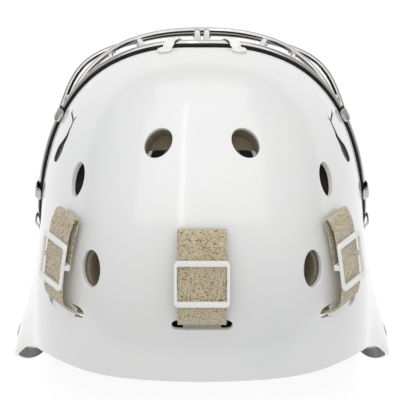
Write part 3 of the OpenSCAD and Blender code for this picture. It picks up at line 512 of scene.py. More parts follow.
# straps as slot direction, fold direction, plate corner, width and lean
strapSet = {"t": 1.6, "lift": 1.7, "gap": 0.35, "slideL": 32.0, "slideT": 1.7, "travel": 8.0, "at": 0.45}
straps = {
    "crown": {"slot": (90, 120), "fold": (90, 99.6), "corner": (0, 1), "w": 31.0, "lean": 0.0},
    "upper": {"slot": (50.7, 115.2), "fold": (53.7, 93.4), "corner": (1, 1), "w": 26.0, "lean": -6.4},
}
underMid = strapSet["lift"] + strapSet["t"] / 2
barLow = strapSet["lift"] + strapSet["t"] + strapSet["gap"]
overMid = barLow + strapSet["slideT"] + strapSet["gap"] + strapSet["t"] / 2


def strapAxes(s):
    slot, fold = np.array(s["slot"], float), np.array(s["fold"], float)
    mid = slot + (fold - slot) * strapSet["at"]
    n, way = normalAt(mid), form(fold) - form(slot)
    x = unit(np.cross(way, n))
    lean = math.radians(s["lean"])
    z = math.cos(lean) * n + math.sin(lean) * x
    y = unit(way - z * dot(way, z))
    return form(mid), np.cross(y, z), y, z


def strapGround(s):
    o, x, y, z = strapAxes(s)
    slot, fold = np.array(s["slot"], float), np.array(s["fold"], float)
    p = form(np.array([slot + (fold - slot) * t for t in np.arange(-0.5, 1.51, 0.05)])) - o
    return p @ y, p @ z


def strapPath(s):
    o, x, y, z = strapAxes(s)
    gy, gz = strapGround(s)
    slotY, foldY = (form(s["slot"]) - o) @ y, (form(s["fold"]) - o) @ y
    ground = lambda v: np.interp(v, gy, gz)
    reach = strapSet["slideL"] / 2 + strapSet["travel"]
    r = (overMid - underMid) / 2
    bend = ground(foldY) + underMid
    pts = [(slotY - 2.5, ground(slotY) - maskForm["wall"] - 9), (slotY, ground(slotY) + 0.8), (1 - reach, overMid),
           (reach, overMid), (foldY - r, bend + 2 * r)]
    pts += [(foldY - r + r * math.cos(a), bend + r + r * math.sin(a)) for a in np.radians(range(60, -61, -30))]
    pts += [(v, ground(v) + underMid) for v in np.linspace(foldY - r, -2, 9)]
    return np.array(pts)


def cutter(o, x, y, z, outline, rows, guess):
    # a plug whose rows follow the form: outline(grow) gives points across and along, rows are (grow, height)
    rings = []
    for grow, h in rows:
        uv = np.array(outline(grow))
        d = np.repeat(np.array([guess], float), len(uv), 0)
        for _ in range(4):
            e = form(d) - o
            d = d + shift(d, (uv[:, :1] - (e @ x)[:, None]) * x + (uv[:, 1:] - (e @ y)[:, None]) * y)
        top = ((form(d) - o) @ z + h)[:, None]
        rings.append(o + uv[:, :1] * x + uv[:, 1:] * y + top * z)
    return np.vstack(rings), tubeFaces(len(rows), len(rings[0]))


def stadium(length, width, n=14):
    def outline(grow):
        r, reach = width / 2 + grow, (length - width) / 2
        a = np.radians(np.linspace(0, 180, n))
        top = np.stack([r * np.cos(a), reach + r * np.sin(a)], -1)
        return np.vstack([top, -top])
    return outline


def ellipse(length, width, n=44):
    def outline(grow):
        a = np.radians(np.arange(n) * 360 / n)
        return np.stack([(width / 2 + grow) * np.cos(a), (length / 2 + grow) * np.sin(a)], -1)
    return outline


# the lip of a hole: a rounded edge that runs into a straight wall
lipRows = [(1.3, 1.2), (0.55, 0.0), (0.32, -0.09), (0.14, -0.25), (0.04, -0.48), (0.0, -0.8), (0.0, -14.0)]


def mirrorX(verts, faces):
    v = np.array(verts) * [-1, 1, 1]
    return v, [list(f)[::-1] for f in faces]


def ventCutter(vent, rows, aside=0.0):
    turn, sweep, spin, length, width = vent
    o, x, y, z = seatAt(turn, sweep)
    a = math.radians(spin)
    o, x, y = o - x * aside * np.sign(x[0]), math.cos(a) * x + math.sin(a) * y, -math.sin(a) * x + math.cos(a) * y
    return cutter(o, x, y, z, ellipse(length, width), rows, (turn, sweep))


def shellCutters():
    parts = [ventCutter(v, lipRows) for v in vents]
    for s in straps.values():
        o, x, y, z = strapAxes(s)
        outline = stadium(s["w"] + 8, 7.5, 9)
        slotRows = [(g * 0.7, h) for g, h in lipRows]
        parts.append(cutter(o + y * (strapPath(s)[1][0] - 0.15), y, -x, z, outline, slotRows, s["slot"]))
    # the crown's slot is on the middle line, and it is the one that isn't mirrored
    parts += [mirrorX(*part) for n, part in enumerate(parts) if n != len(vents)]
    for d in earHoles:
        parts.append(cutter(*seatAt(*d), stadium(12, 5, 9), [(g * 0.6, h) for g, h in lipRows], d))
    for d in eyelets:
        parts.append(cutter(*seatAt(*d), stadium(6.81, 6.8, 9), [(0, 3), (0, -12)], d))
    return parts


# the moulded recess at each temple, whose cut faces are painted dark as shade: two directions across it and its depth
# at each row, and the fork above it
recessKeys = [(48.85, 66.6, 49.59, 67.01, 0.5), (48.33, 67.95, 49.07, 68.35, 0.6), (47.31, 69.11, 48.34, 69.61, 0.8),
              (46.46, 70.33, 48.2, 70.76, 1.1), (44.57, 71.2, 47.46, 71.99, 1.4), (42.0, 71.99, 46.64, 73.21, 1.6),
              (40.36, 73.27, 45.89, 74.73, 1.6), (39.12, 74.7, 44.47, 75.91, 1.5), (39.7, 75.94, 42.08, 76.82, 0.9)]
forkKeys = [[(46.41, 62.03, 0.3, 0.3), (46.11, 62.98, 0.7, 0.7), (47.9, 65.18, 0.7, 0.8), (49.1, 66.78, 0.7, 0.8)],
            [(50.59, 66.04, 0.3, 0.3), (49.77, 66.34, 0.6, 0.7), (49.24, 66.83, 0.6, 0.8)]]


def recess():
    k = openCurve(recessKeys, 40)
    left, right, deep = k[:, :2], k[:, 2:4], k[:, 4]
    corners = (left, 0.8), (right, 0.8), (right + (left - right) * 0.2, -deep * 0.55), (left, -deep)
    return strung([onForm(d, h) for d, h in corners]), tubeFaces(40, 4)


def crease(keys, n):
    k = openCurve(keys, n)
    d = k[:, :2]
    p, nrm = form(d), normalAt(d)
    along = unit(np.gradient(p, axis=0))
    side = unit(np.cross(along, nrm))
    w, deep = k[:, 2:3], k[:, 3:4]
    return strung([p - side * w * 1.3 + nrm * 0.3, p + side * w * 1.3 + nrm * 0.3,
                   p + side * w * 0.4 - nrm * deep, p - side * w * 0.4 - nrm * deep]), tubeFaces(n, 4)


def joined(parts):
    verts, faces, base = [], [], 0
    for v, f in parts:
        verts.append(np.asarray(v))
        faces += [[int(i) + base for i in face] for face in f]
        base += len(v)
    return np.vstack(verts), faces


def shellBand(columns, rows):
    w = maskForm["wall"]
    place = np.arange(columns) * steps / columns
    edge = [(-14.9, -3.4), (-15.3, -2.9), (-15.1, -2.4), (-14.6, -2.2), (-11, -2.2), (-7.5, -2.2), (-4, -2.2),
            (-1, -2.2), (-0.3, -2.2), (-0.02, -1.95), (0.3, -1.3), (0.62, -0.6), (0.9, -0.22), (1.25, -0.04), (1.8, 0),
            (2.7, 0), (2.95, -0.1), (3.3, -0.5), (3.9, -0.5), (4.25, -0.1), (4.6, 0), (5.6, 0), (7, 0)]
    ring = [onForm(fromEdge(place, dist), h) for dist, h in [(a, np.full(1, b)) for a, b in edge]]
    near, rim = fromEdge(place, 9.0), curveAt(rimLoop, place)
    perMm = np.linalg.norm(form(rim + (near - rim) * 0.02) - form(rim), axis=-1)[:, None] / 0.02
    back = lambda dist: rim + (near - rim) * dist / perMm
    outerEnd = back(1.75)
    for t in np.linspace(0, 1, rows):
        ring.append(onForm(near + (outerEnd - near) * t, np.zeros(1)))
    for a in np.radians(np.arange(67.5, -68, -22.5)):
        ring.append(onForm(back(1.75 - 1.75 * math.cos(a)), np.full(1, -1.75 + 1.75 * math.sin(a))))
    split = len(ring)
    lift = fromEdge(place, 6.5)
    for t in np.linspace(0, 1, rows):
        ring.append(onForm(outerEnd + (lift - outerEnd) * t, np.full(1, -w)))
    for dist, under in [(4.5, 0.2), (3.0, 0.9), (1.4, 1.9), (0, 2.2), (-6, 2.2), (-12, 2.2), (-14.4, 2.2),
                        (-14.9, 1.8), (-15.2, 1.2)]:
        ring.append(onForm(fromEdge(place, dist), np.full(1, -w - under)))
    m = len(ring)
    faces = gridFaces(columns, m, True, True)
    row = np.array([min(f % m) if max(f % m) - min(f % m) < 2 else m - 1 for f in faces])
    index = np.where(row >= split - 1, 1, 0)
    index[row == m - 1] = 0
    return strung(ring), faces, index


def locate(points, rounds=14):
    # the nearest direction and the height over the form of each point
    c = np.array(maskForm["centre"], float)
    target = points.copy()
    for _ in range(rounds):
        q = target - c
        sweep = np.arccos(np.clip(-q[:, 1] / np.linalg.norm(q, axis=1), -1, 1))
        d = np.degrees(np.stack([np.arctan2(q[:, 2], q[:, 0]), sweep], -1))
        n = normalAt(d)
        e = points - form(d)
        h = dot(e, n)
        target = target + e - h[:, None] * n
    return n, h


def trueNormals(obj):
    # exact normals on the smooth outer and inner faces, so that the cut edges don't dent the reflections
    mesh = smoothBy(obj, 32).data
    n, h = locate(fetch(mesh.vertices, "co") * 1000)
    vert = fetch(mesh.loops, "vertex_index", 1, np.int32)
    faceOf = np.repeat(np.arange(len(mesh.polygons)), fetch(mesh.polygons, "loop_total", 1, np.int32))
    loops = fetch(mesh.corner_normals, "vector")
    vn, vh = n[vert], h[vert]
    facing = dot(fetch(mesh.polygons, "normal")[faceOf], vn)
    out = (abs(vh) < 0.03) & (facing > 0.86)
    back = (abs(vh + maskForm["wall"]) < 0.03) & (facing < -0.86)
    loops[out], loops[back] = vn[out], -vn[back]
    mesh.normals_split_custom_set(loops.tolist())


def buildShell():
    verts, faces, index = shellBand(ringColumns, shellRows)
    shell = makeMesh("maskShell", verts, faces, [mats["paint"], mats["inside"]], index)
    if outwardShare(shell) < 0.5:
        shell.data.flip_normals()
    tools = [outward(makeMesh("shellTools", *joined(shellCutters()), [mats["paint"]])),
             boxTool("floorTool", (-200, 200), (-200, 200), (-60, 0), materials=[mats["paint"]])]
    grooves = [recess()] + [crease(k, 9) for k in forkKeys]
    grooves += [mirrorX(*g) for g in grooves]
    # the cut faces of these grooves take the dark painted shade
    tools += [outward(makeMesh("grooveTool", v, f, [mats["recess"]])) for v, f in grooves]
    cut(shell, *tools, material_mode="TRANSFER")
    for v in shell.data.vertices:
        v.co.z = max(v.co.z, 0)  # scraps where the rounded rim folds at the jaw tips
    trueNormals(shell)
    return finished(shell, "mask", "shell_paint", None, "shell")


def outwardShare(obj):
    return np.mean([p.normal.dot(p.center - middle) > 0 for p in obj.data.polygons])


shellLook = buildShell()
print("shell:", len(shellLook.data.polygons), "faces")


def ringPiece(name, section, columns, material):
    # section lists (distance from the gasket's edge, height over the form)
    place = np.arange(columns) * steps / columns
    ring = [onForm(fromEdge(place, dist), np.full(1, h)) for dist, h in section]
    return outward(makeMesh(name, strung(ring), gridFaces(columns, len(section), True, True), [material]))


gasketBead = {"low": -1.95, "top": 1.85, "inner": -2.35, "outer": -0.4}
inner, outer, low = gasketBead["inner"], gasketBead["outer"], gasketBead["low"]
beadSection = [(inner, low), (outer, low), (outer, 0.5), (outer - 0.15, 1.0), (outer - 0.45, 1.4), (outer - 0.8, 1.7),
               (-1.45, gasketBead["top"]), (inner + 0.55, 1.7), (inner + 0.2, 1.3), (inner, 0.4)]
gasket = ringPiece("faceGasket", beadSection, ringColumns, mats["rubber"])
finished(gasket, "mask", "rubber", mats["rubber"], "face_gasket")
print("gasket done")


def treeFor(name, inputs):
    # a node tree with named inputs, a function that adds a node and gives its outputs, and one that closes the tree
    tree = bpy.data.node_groups.new(name, "GeometryNodeTree")
    tree.interface.new_socket("Geometry", in_out="INPUT", socket_type="NodeSocketGeometry")
    for label, kind, value in inputs + [("Finish", "Material", None)]:
        socket = tree.interface.new_socket(label, in_out="INPUT", socket_type="NodeSocket" + kind)
        if value is not None:
            socket.default_value = value
    tree.interface.new_socket("Geometry", in_out="OUTPUT", socket_type="NodeSocketGeometry")
    first, last = tree.nodes.new("NodeGroupInput").outputs, tree.nodes.new("NodeGroupOutput").inputs

    def add(kind, inputs=None, **props):
        return addNode(tree, kind, inputs, **props).outputs

    def close(geometry):
        real = add("GeometryNodeRealizeInstances", {"Geometry": geometry})
        paint = add("GeometryNodeSetMaterial", {"Geometry": real["Geometry"], "Material": first["Finish"]})
        tree.links.new(paint["Geometry"], last["Geometry"])
        return tree
    return tree, first, add, close


def runTree(obj, tree, **values):
    m = obj.modifiers.new(tree.name, "NODES")
    m.node_group = tree
    for item in tree.interface.items_tree:
        if item.in_out == "INPUT" and item.name in values:
            m[item.identifier] = values[item.name]
    return bake(obj)


def wireTree():
    # round wire drawn along every polyline of the mesh
    tree, first, add, close = treeFor("roundWire", [("Diameter", "Float", 0.004), ("Sides", "Int", 16)])
    line = add("GeometryNodeMeshToCurve", {"Mesh": first["Geometry"]})
    half = add("ShaderNodeMath", {0: first["Diameter"], 1: 0.5}, operation="MULTIPLY")
    ring = add("GeometryNodeCurvePrimitiveCircle", {"Resolution": first["Sides"], "Radius": half[0]})
    body = add("GeometryNodeCurveToMesh", {"Curve": line["Curve"], "Profile Curve": ring["Curve"],
                                           "Fill Caps": True})
    return close(add("GeometryNodeSetShadeSmooth", {"Geometry": body["Mesh"]})["Geometry"])


def scatterTree():
    # one shape set on every point, turned to the point's axis and scaled
    tree, first, add, close = treeFor("setOnPoints", [("Shape", "Object", None), ("Size", "Float", 1.0)])
    shape = add("GeometryNodeObjectInfo", {"Object": first["Shape"], "As Instance": True})
    axis = add("GeometryNodeInputNamedAttribute", {"Name": "axis"}, data_type="FLOAT_VECTOR")
    turn = add("FunctionNodeAlignRotationToVector", {"Vector": axis["Attribute"]}, axis="Z")
    put = add("GeometryNodeInstanceOnPoints", {"Points": first["Geometry"], "Instance": shape["Geometry"],
                                               "Rotation": turn["Rotation"], "Scale": first["Size"]})
    return close(put["Instances"])


wires, onPoints = wireTree(), scatterTree()


def wireAlong(name, lines, diameter, sides, closed=False):
    verts, edges, base = [], [], 0
    for pts in lines:
        n = len(pts)
        verts += list(pts)
        edges += [(base + i, base + i + 1) for i in range(n - 1)] + ([(base + n - 1, base)] if closed else [])
        base += n
    line = makeMesh(name, verts, [], edges=edges)
    return runTree(line, wires, Diameter=diameter / 1000, Sides=sides, Finish=mats["wire"])


def setOn(name, points, axes, shape, size, finish):
    obj = makeMesh(name, points, [])
    axis = obj.data.attributes.new("axis", "FLOAT_VECTOR", "POINT")
    axis.data.foreach_set("vector", np.asarray(axes, np.float32).ravel())
    return runTree(obj, onPoints, Shape=shape, Size=size, Finish=finish)


# cage: [yaw, rise] keys of the bars' left halves, and uprights as yaw at the top and foot, rise at the top and foot
def cageDir(yaw, rise):
    a, b = np.radians(yaw), np.radians(rise)
    x, y, z = np.cos(b) * np.sin(a), np.cos(b) * np.cos(a), np.sin(b)
    return np.stack([np.degrees(np.arctan2(z, x)), np.degrees(np.arccos(y))], -1)


def edgeSweep(turn):
    low, high = np.zeros_like(turn), np.full_like(turn, steps / 2)
    for _ in range(22):
        mid = (low + high) / 2
        over = fromEdge(mid, -frameIn)[..., 0] > turn
        low, high = np.where(over, mid, low), np.where(over, high, mid)
    return fromEdge(low, -frameIn)[..., 1]


def frameShare(yaw, rise):
    d = cageDir(np.asarray(yaw, float), np.asarray(rise, float))
    t = d[..., 0]
    t = np.where(t > 90, 180 - t, np.where(t < -90, -180 - t, t))
    return d, d[..., 1] / edgeSweep(t)


def cagePoint(yaw, rise, inset=0.0):
    d, share = frameShare(yaw, rise)
    share = np.clip(share, 0, 1)
    shoulder = flangeSet["shoulder"] * np.exp(-((np.abs(yaw) - 36) / 11) ** 2) * np.clip((24 - rise) / 10, 0, 1)
    bulge = (flangeSet["bulge"] * np.cos(np.radians(yaw)) ** 3 + shoulder) * (1 - share ** 2.5) ** 0.8
    out = frameOut + bulge - inset * (1 - share ** 8)
    return onForm(d, out)


def meet(test, low, high):
    for _ in range(18):
        mid = (low + high) / 2
        low, high = (low, mid) if test(mid) > 1 else (mid, high)
    return (low + high) / 2


def frameYaw(rise):
    return meet(lambda v: frameShare(v, rise)[1], 10, 89)


def frameRise(yaw, way):
    return way * meet(lambda v: frameShare(yaw, way * v)[1], 0, 60)


cageBars = {
    "brow": [(0, 19), (18, 20.5), (32, 25), (frameYaw(31), 31)],
    "eyeTop": [(0, 12), (16, 13.5), (34, 12.5), (52, 9), (66, 7.5), (frameYaw(9), 9)],
    "eyeLow": [(0, -7), (10, -9.5), (24, -12.5), (40, -10.5), (54, -3.5), (66, 7.5)],
    "nose": [(0, -15.5), (18, -19), (36, -19.5), (52, -16.5), (frameYaw(-13), -13)],
    "mouth": [(0, -24.5), (16, -26.5), (32, -27), (frameYaw(-25.5), -25.5)],
}
uprights = [
    (1.5, 1.5, frameRise(1.5, 1), frameRise(1.5, -1)), (20, 19, frameRise(20, 1), 14),
    (19, 17, -12, frameRise(17, -1)), (31, 27, frameRise(31, 1), 13.5), (31, 25, -13, frameRise(25, -1)),
    (45, 39, 10, frameRise(39, -1)),
]


def barLine(keys, n=81):
    whole = [(-a, b) for a, b in keys[:0:-1]] + list(keys)
    k = openCurve(whole, n)
    return cagePoint(k[:, 0], k[:, 1])


def uprightLine(u, side, n=25):
    t = np.linspace(0, 1, n)
    return cagePoint(side * (u[0] + (u[1] - u[0]) * t), u[2] + (u[3] - u[2]) * t, flangeSet["barD"] * 0.6)


weldSet = {"reach": 6.5, "r": 2.62}


def buildCage():
    rim = onForm(fromEdge(np.arange(steps * 8) / 8, -frameIn), np.full(1, frameOut))
    bars = [barLine(k) for k in cageBars.values()]
    posts = [uprightLine(u, s) for s in (-1, 1) for u in uprights]
    welds = []
    for post in posts:
        for other in bars:
            gap = np.linalg.norm(post[:, None] - other[None], axis=-1)
            i, j = np.unravel_index(gap.argmin(), gap.shape)
            if gap[i, j] < weldSet["reach"]:
                welds.append((post[i] + other[j]) / 2)
    welds = np.array(welds + [end for line in bars + posts for end in (line[0], line[-1])])
    edge = wireAlong("cageRim", [rim], flangeSet["frameD"], 18, True)
    rods = wireAlong("cageRods", bars + posts, flangeSet["barD"], 14)
    bead = bpy.data.objects.new("weldBead", bpy.data.meshes.new("weldBead"))
    bm = bmesh.new()
    bmesh.ops.create_icosphere(bm, subdivisions=2, radius=1)
    for v in bm.verts:
        v.co.x *= 1 + 0.08 * math.sin(5 * v.co.z)
        v.co.z *= 0.85
    for f in bm.faces:
        f.smooth = True
    bm.to_mesh(bead.data)
    bm.free()
    out = unit(welds - np.array(maskForm["centre"]))
    beads = setOn("cageWelds", welds, out, bead, weldSet["r"] / 1000, mats["wire"])
    cage = mergeObjects("wireCage", [edge, rods, beads])
    return finished(cage, "mask", "chrome_wire", mats["wire"], "cage")


def mergeObjects(name, objects):
    bm = bmesh.new()
    for o in objects:
        bm.from_mesh(o.data)
    mesh = bpy.data.meshes.new(name)
    for m in objects[0].data.materials:
        mesh.materials.append(m)
    bm.to_mesh(mesh)
    bm.free()
    for o in objects:
        bpy.data.objects.remove(o)
    return link(bpy.data.objects.new(name, mesh))


cageLook = buildCage()
print("cage:", len(cageLook.data.polygons), "faces")


def smoothPath(pts, rounds=3):
    # corners are cut and the ends stay
    for _ in range(rounds):
        a, b = pts[:-1], pts[1:]
        mid = np.stack([a * 0.75 + b * 0.25, a * 0.25 + b * 0.75], 1).reshape(-1, pts.shape[1])
        pts = np.vstack([pts[:1], mid, pts[-1:]])
    return pts


def strip(name, ring, across, run, material, angle):
    # a closed strip from lines of points, with its UV across and along the run in tenths of a metre
    obj = outward(makeMesh(name, strung(ring), tubeFaces(len(run), len(across)), [material]))
    layer = obj.data.uv_layers.new(name="run").data
    for loop in obj.data.loops:
        place, side = divmod(loop.vertex_index, len(across))
        layer[loop.index].uv = (across[side] / 100, run[place] / 100)
    return smoothBy(obj, angle)


def sectionOf(cols):
    # places across a flat section from -1 to 1, over its top and back along its underside
    u = np.linspace(-1, 1, cols)
    return [(a, 1) for a in u] + [(a, -1) for a in u[::-1]]


def bandMesh(name, path, o, x, y, z, width, thick, material, endRound=0.0, cols=9, rounding=0.35):
    # a strip along a path of (along, up) points in the axes of a seat, with rounded edges
    tangent = unit(np.gradient(path, axis=0))
    up = np.stack([-tangent[:, 1], tangent[:, 0]], -1)
    run = runOf(path)
    half = np.full(len(path), width / 2)
    if endRound:
        for dist in (run, run[-1] - run):
            k = np.clip(1 - dist / endRound, 0, 1)
            half = np.minimum(half, width / 2 * (1 - k ** 2.4 * 0.75))
    t = thick / 2
    ring = []
    for a, s in sectionOf(cols):
        edge = abs(a) == 1
        across = (half - (t * 0.15 if edge else 0)) * a
        p = path + up * s * (t - (t * rounding * 1.2 if edge else 0))
        ring.append(o + across[:, None] * x + p[:, :1] * y + p[:, 1:] * z)
    return strip(name, ring, [a * width / 2 for a, s in sectionOf(cols)], run, material, 50)


def resampled(path, gap):
    run = runOf(path)
    at = np.linspace(0, run[-1], max(4, int(run[-1] / gap)))
    return np.stack([np.interp(at, run, path[:, k]) for k in range(path.shape[1])], -1)


# a forehead clip and its oval foot
topClip = {"w": 7.0, "lean": 0.48, "fall": 0.015, "foot": 0.89, "footIn": 6.0, "footL": 10.0, "footW": 6.4,
           "footH": 1.8}


def clipPiece(name, place, thick, width, lean=0.0):
    o, x, y, z = edgeSeat(place, -screwIn)
    half = clipSet["t"] / 2
    keys = [(4, half + 0.35), (1.5, half + 0.8), (-0.6, clipOver + half), (-frameIn - 0.6, clipOver + half),
            (-clipSide, clipOver * 0.45), (-clipSide, clipRest + half), (0.3 - flangeSet["w"], clipRest + half)]
    pts = [onForm(fromEdge(place, dist), h) - o for dist, h in keys]
    path = np.array([(dot(q, y), dot(q, z)) for q in pts])
    path = resampled(smoothPath(resampled(path, 1.4), 2), 0.5)
    clip = bandMesh(name, path, o, x, y, z, width, thick, mats["steel"], endRound=3.2, cols=5, rounding=0.5)
    if lean:
        for v in clip.data.vertices:
            v.co += Vector((x * lean + z * topClip["fall"]) * dot(np.array(v.co) * 1000 - o, y) / 1000)
    return clip


def clipFoot():
    # the oval foot of a forehead clip, domed, with a driver slot
    t = topClip
    d = fromEdge(t["foot"], t["footIn"])
    o, x, y, z = edgeSeat(t["foot"], t["footIn"])
    h = t["footH"] + 0.35
    rows = [(-0.25, 0.3), (0, 0.5), (0.05, h * 0.6), (-0.15, h - 0.35), (-0.5, h - 0.12), (-1.1, h), (-2.2, h + 0.1)]
    oval = cutter(o, y, -x, z, stadium(t["footL"], t["footW"], 20), rows[::-1], d)
    foot = outward(makeMesh("clipFoot", *oval, [mats["white"]]))
    return cut(foot, boxTool("slotTool", (-1.6, 1.6), (-0.4, 0.4), (h - 0.9, h + 2), (o, x, y, z)))


def buildClips():
    steel = ("plated_steel", "steel", 1.2)
    for kind, (slot, finish, thick) in {"top": ("white_plastic", "white", 1.3), "side": steel, "chin": steel}.items():
        if kind == "top":
            made = [clipPiece("clip", clipPlaces[kind][0], thick, topClip["w"], topClip["lean"]), clipFoot()]
            for o in list(made):
                made.append(link(o.copy()))
                made[-1].data = o.data.copy()
                mirrored(made[-1])
        else:
            made = [clipPiece("clip", c, thick, clipSet["w"]) for c in clipPlaces[kind]]
        clips = bevel(mergeObjects(kind + "Clips", made), 0.2, 2, 40)
        finished(smoothBy(clips, 50), "mask", slot, mats[finish], kind + "_clips")


buildClips()


def spun(name, profile, sides=36):
    # a closed solid turned about Z from (radius, height) points; a radius of 0 makes a pole
    verts, faces, rings = [], [], []
    for r, h in profile:
        n = sides if r > 1e-6 else 1
        rings.append([len(verts) + k for k in range(n)])
        verts += [(r * math.cos(2 * math.pi * k / sides), r * math.sin(2 * math.pi * k / sides), h) for k in range(n)]
    for a, b in zip(rings, rings[1:]):
        for k in range(sides):
            k2 = (k + 1) % sides
            quad = list(dict.fromkeys([a[k % len(a)], a[k2 % len(a)], b[k2 % len(b)], b[k % len(b)]]))
            if len(quad) > 2:
                faces.append(quad)
    return outward(makeMesh(name, verts, faces))


def screwShape():
    # dome head with a cross recess, and the shank under it
    s = clipSet
    shank, rh, h = s["screwD"] / 2, s["headD"] / 2, s["headH"]
    profile = [(0, -s["shank"]), (shank, -s["shank"]), (shank, 0), (rh - 0.25, 0), (rh, 0.25)]
    profile += [(rh * math.cos(a), h * 0.45 + h * 0.55 * math.sin(a)) for a in np.radians(range(0, 73, 18))]
    profile.append((0, h))
    cross = [boxTool("crossTool", (-a, a), (-b, b), (h * 0.35, h + 1)) for a, b in ((0.35, 1.6), (1.6, 0.35))]
    return smoothBy(cut(spun("screwShape", profile), *cross), 35)


def buildScrews():
    seats = [edgeSeat(c, -screwIn) for kind in clipPlaces.values() for c in kind]
    head = clipRest + clipSet["t"] + 0.05
    shape = screwShape()
    points, axes = [o + z * head for o, x, y, z in seats], [z for o, x, y, z in seats]
    screws = setOn("screwPoints", points, axes, shape, 1.0, mats["steel"])
    screws.name = "cageScrews"
    bpy.data.objects.remove(shape)
    finished(screws, "mask", "plated_steel", mats["steel"], "cage_screws")


buildScrews()
print("clips and screws done")


def pileTree():
    # short yarn loops scattered over the webbing, each with its height in the tuft attribute
    tree, first, add, close = treeFor("yarnLoops", [
        ("Loop", "Object", None), ("Density", "Float", 1.0e6), ("Spacing", "Float", 0.0012), ("Size", "Float", 1.5),
        ("Seed", "Int", 3)])
    spread = add("GeometryNodeDistributePointsOnFaces", {
        "Mesh": first["Geometry"], "Seed": first["Seed"], "Distance Min": first["Spacing"],
        "Density Max": first["Density"]}, distribute_method="POISSON")
    spin = add("FunctionNodeRandomValue", {"Seed": first["Seed"], 3: 6.283}, data_type="FLOAT")
    about = add("ShaderNodeCombineXYZ", {"Z": spin[1]})
    euler = add("FunctionNodeEulerToRotation", {"Euler": about["Vector"]})
    turn = add("FunctionNodeRotateRotation", {"Rotation": spread["Rotation"],
                                              "Rotate By": euler["Rotation"]}, rotation_space="LOCAL")
    grow = add("FunctionNodeRandomValue", {"Seed": 8, 2: 0.7, 3: 1.25}, data_type="FLOAT")
    size = add("ShaderNodeMath", {0: grow[1], 1: first["Size"]}, operation="MULTIPLY")
    shape = add("GeometryNodeObjectInfo", {"Object": first["Loop"], "As Instance": False})
    where = add("ShaderNodeSeparateXYZ", {"Vector": add("GeometryNodeInputPosition")["Position"]})
    tall = add("ShaderNodeMath", {0: where["Z"], 1: 2000.0}, operation="MULTIPLY")
    named = add("GeometryNodeStoreNamedAttribute", {"Geometry": shape["Geometry"], "Name": "tuft",
                                                    "Value": tall[0]}, data_type="FLOAT", domain="POINT")
    put = add("GeometryNodeInstanceOnPoints", {
        "Points": spread["Points"], "Instance": named["Geometry"],
        "Rotation": turn["Rotation"], "Scale": size[0]})
    both = addNode(tree, "GeometryNodeJoinGeometry", {"Geometry": put["Instances"]})
    tree.links.new(first["Geometry"], both.inputs["Geometry"])
    return close(both.outputs["Geometry"])


def yarnLoop():
    # one loop of yarn, a bent three-sided tube a quarter of a millimetre high
    look = {"reach": 0.34, "high": 0.18, "thick": 0.13}
    a = np.radians(np.linspace(0, 180, 5))
    line = np.stack([look["reach"] * np.cos(a), 0 * a, look["high"] * np.sin(a) - 0.08], -1)
    out, aside = unit(line + [0, 0, 1e-3]), np.array([0, 1.0, 0])
    ring = [line + look["thick"] * (math.cos(b) * out + math.sin(b) * aside) for b in 2 * math.pi * np.arange(3) / 3]
    return outward(makeMesh("yarnLoop", strung(ring), tubeFaces(5, 3)))


loops = pileTree()


# the sewn line that holds the fold, from the fold's end
foldSeam = {"at": 5.6, "deep": 0.9, "wide": 0.9}


def buildStraps():
    loop = yarnLoop()
    for node, kind in (("crown_strap", "crown"), ("upper_strap_left", "upper"), ("upper_strap_right", "upper")):
        s = straps[kind]
        path = resampled(smoothPath(strapPath(s), 3), 1.1)
        upper = np.arange(len(path)) < path[:, 0].argmax()
        fromSeam = path[:, 0] - path[:, 0].max() + foldSeam["at"]
        path[:, 1] -= upper * foldSeam["deep"] * np.exp(-(fromSeam / foldSeam["wide"]) ** 2)
        web = bandMesh("webbing_" + node, path, *strapAxes(s), s["w"], strapSet["t"] - 0.65, mats["pile"], cols=15)
        if node.endswith("_right"):
            mirrored(web)
        web = runTree(web, loops, Loop=loop, Density=1.0e6, Spacing=0.0012, Size=1.5, Seed=3, Finish=mats["pile"])
        finished(web, "mask", "webbing", mats["pile"], node)
        print(node, len(web.data.polygons), "faces")
    bpy.data.objects.remove(loop)


buildStraps()


def puffed(pad, cap=0.9, pressure=4.0, voxel=0.0045):
    # a cushion blown up as cloth, with the movement of each point kept under cap
    tone = list(pad.data.materials)
    modifier(pad, "DISPLACE", strength=-0.0005, mid_level=0.0)
    modifier(pad, "REMESH", mode="VOXEL", voxel_size=voxel)
    bake(pad)
    rest = fetch(pad.data.vertices, "co")
    sim = pad.modifiers.new("cloth", "CLOTH")
    cloth = sim.settings
    cloth.use_pressure, cloth.uniform_pressure_force = True, pressure
    cloth.mass, cloth.bending_stiffness = 0.15, 0.4
    cloth.tension_stiffness = cloth.compression_stiffness = 12
    cloth.effector_weights.gravity = 0
    sim.point_cache.frame_start, sim.point_cache.frame_end = 1, 20
    for frameNumber in range(1, 21):
        scene.frame_set(frameNumber)
    grown = pad.evaluated_get(bpy.context.evaluated_depsgraph_get()).to_mesh()
    move = fetch(grown.vertices, "co") - rest
    pad.to_mesh_clear()
    pad.modifiers.remove(sim)
    scene.frame_set(1)
    size = np.linalg.norm(move, axis=1)[:, None]
    move *= cap / 1000 * np.tanh(size / (cap / 1000)) / np.maximum(size, 1e-9)
    pad.data.vertices.foreach_set("co", (rest + move).ravel())
    print(pad.name, "cloth moved", round(float(np.linalg.norm(move, axis=1).max()) * 1000, 2), "mm")
    modifier(pad, "SUBSURF", levels=1, render_levels=1)
    bake(pad)
    pad.data.materials.clear()
    for m in tone:
        pad.data.materials.append(m)
    if len(tone) > 1:
        for p in pad.data.polygons:
            p.material_index = 1 if p.normal.dot(p.center - middle) < 0 else 0
    return pad


def softEdges(node, material, slot, body, width, segments=3, angle=28, sharp=40, puff=0.0):
    obj = bevel(cadCopy(node), width, segments, angle)
    if puff:
        obj = puffed(obj, cap=puff, voxel=0.004)
    smoothBy(obj, sharp)
    return finished(obj, body, slot, material, node)


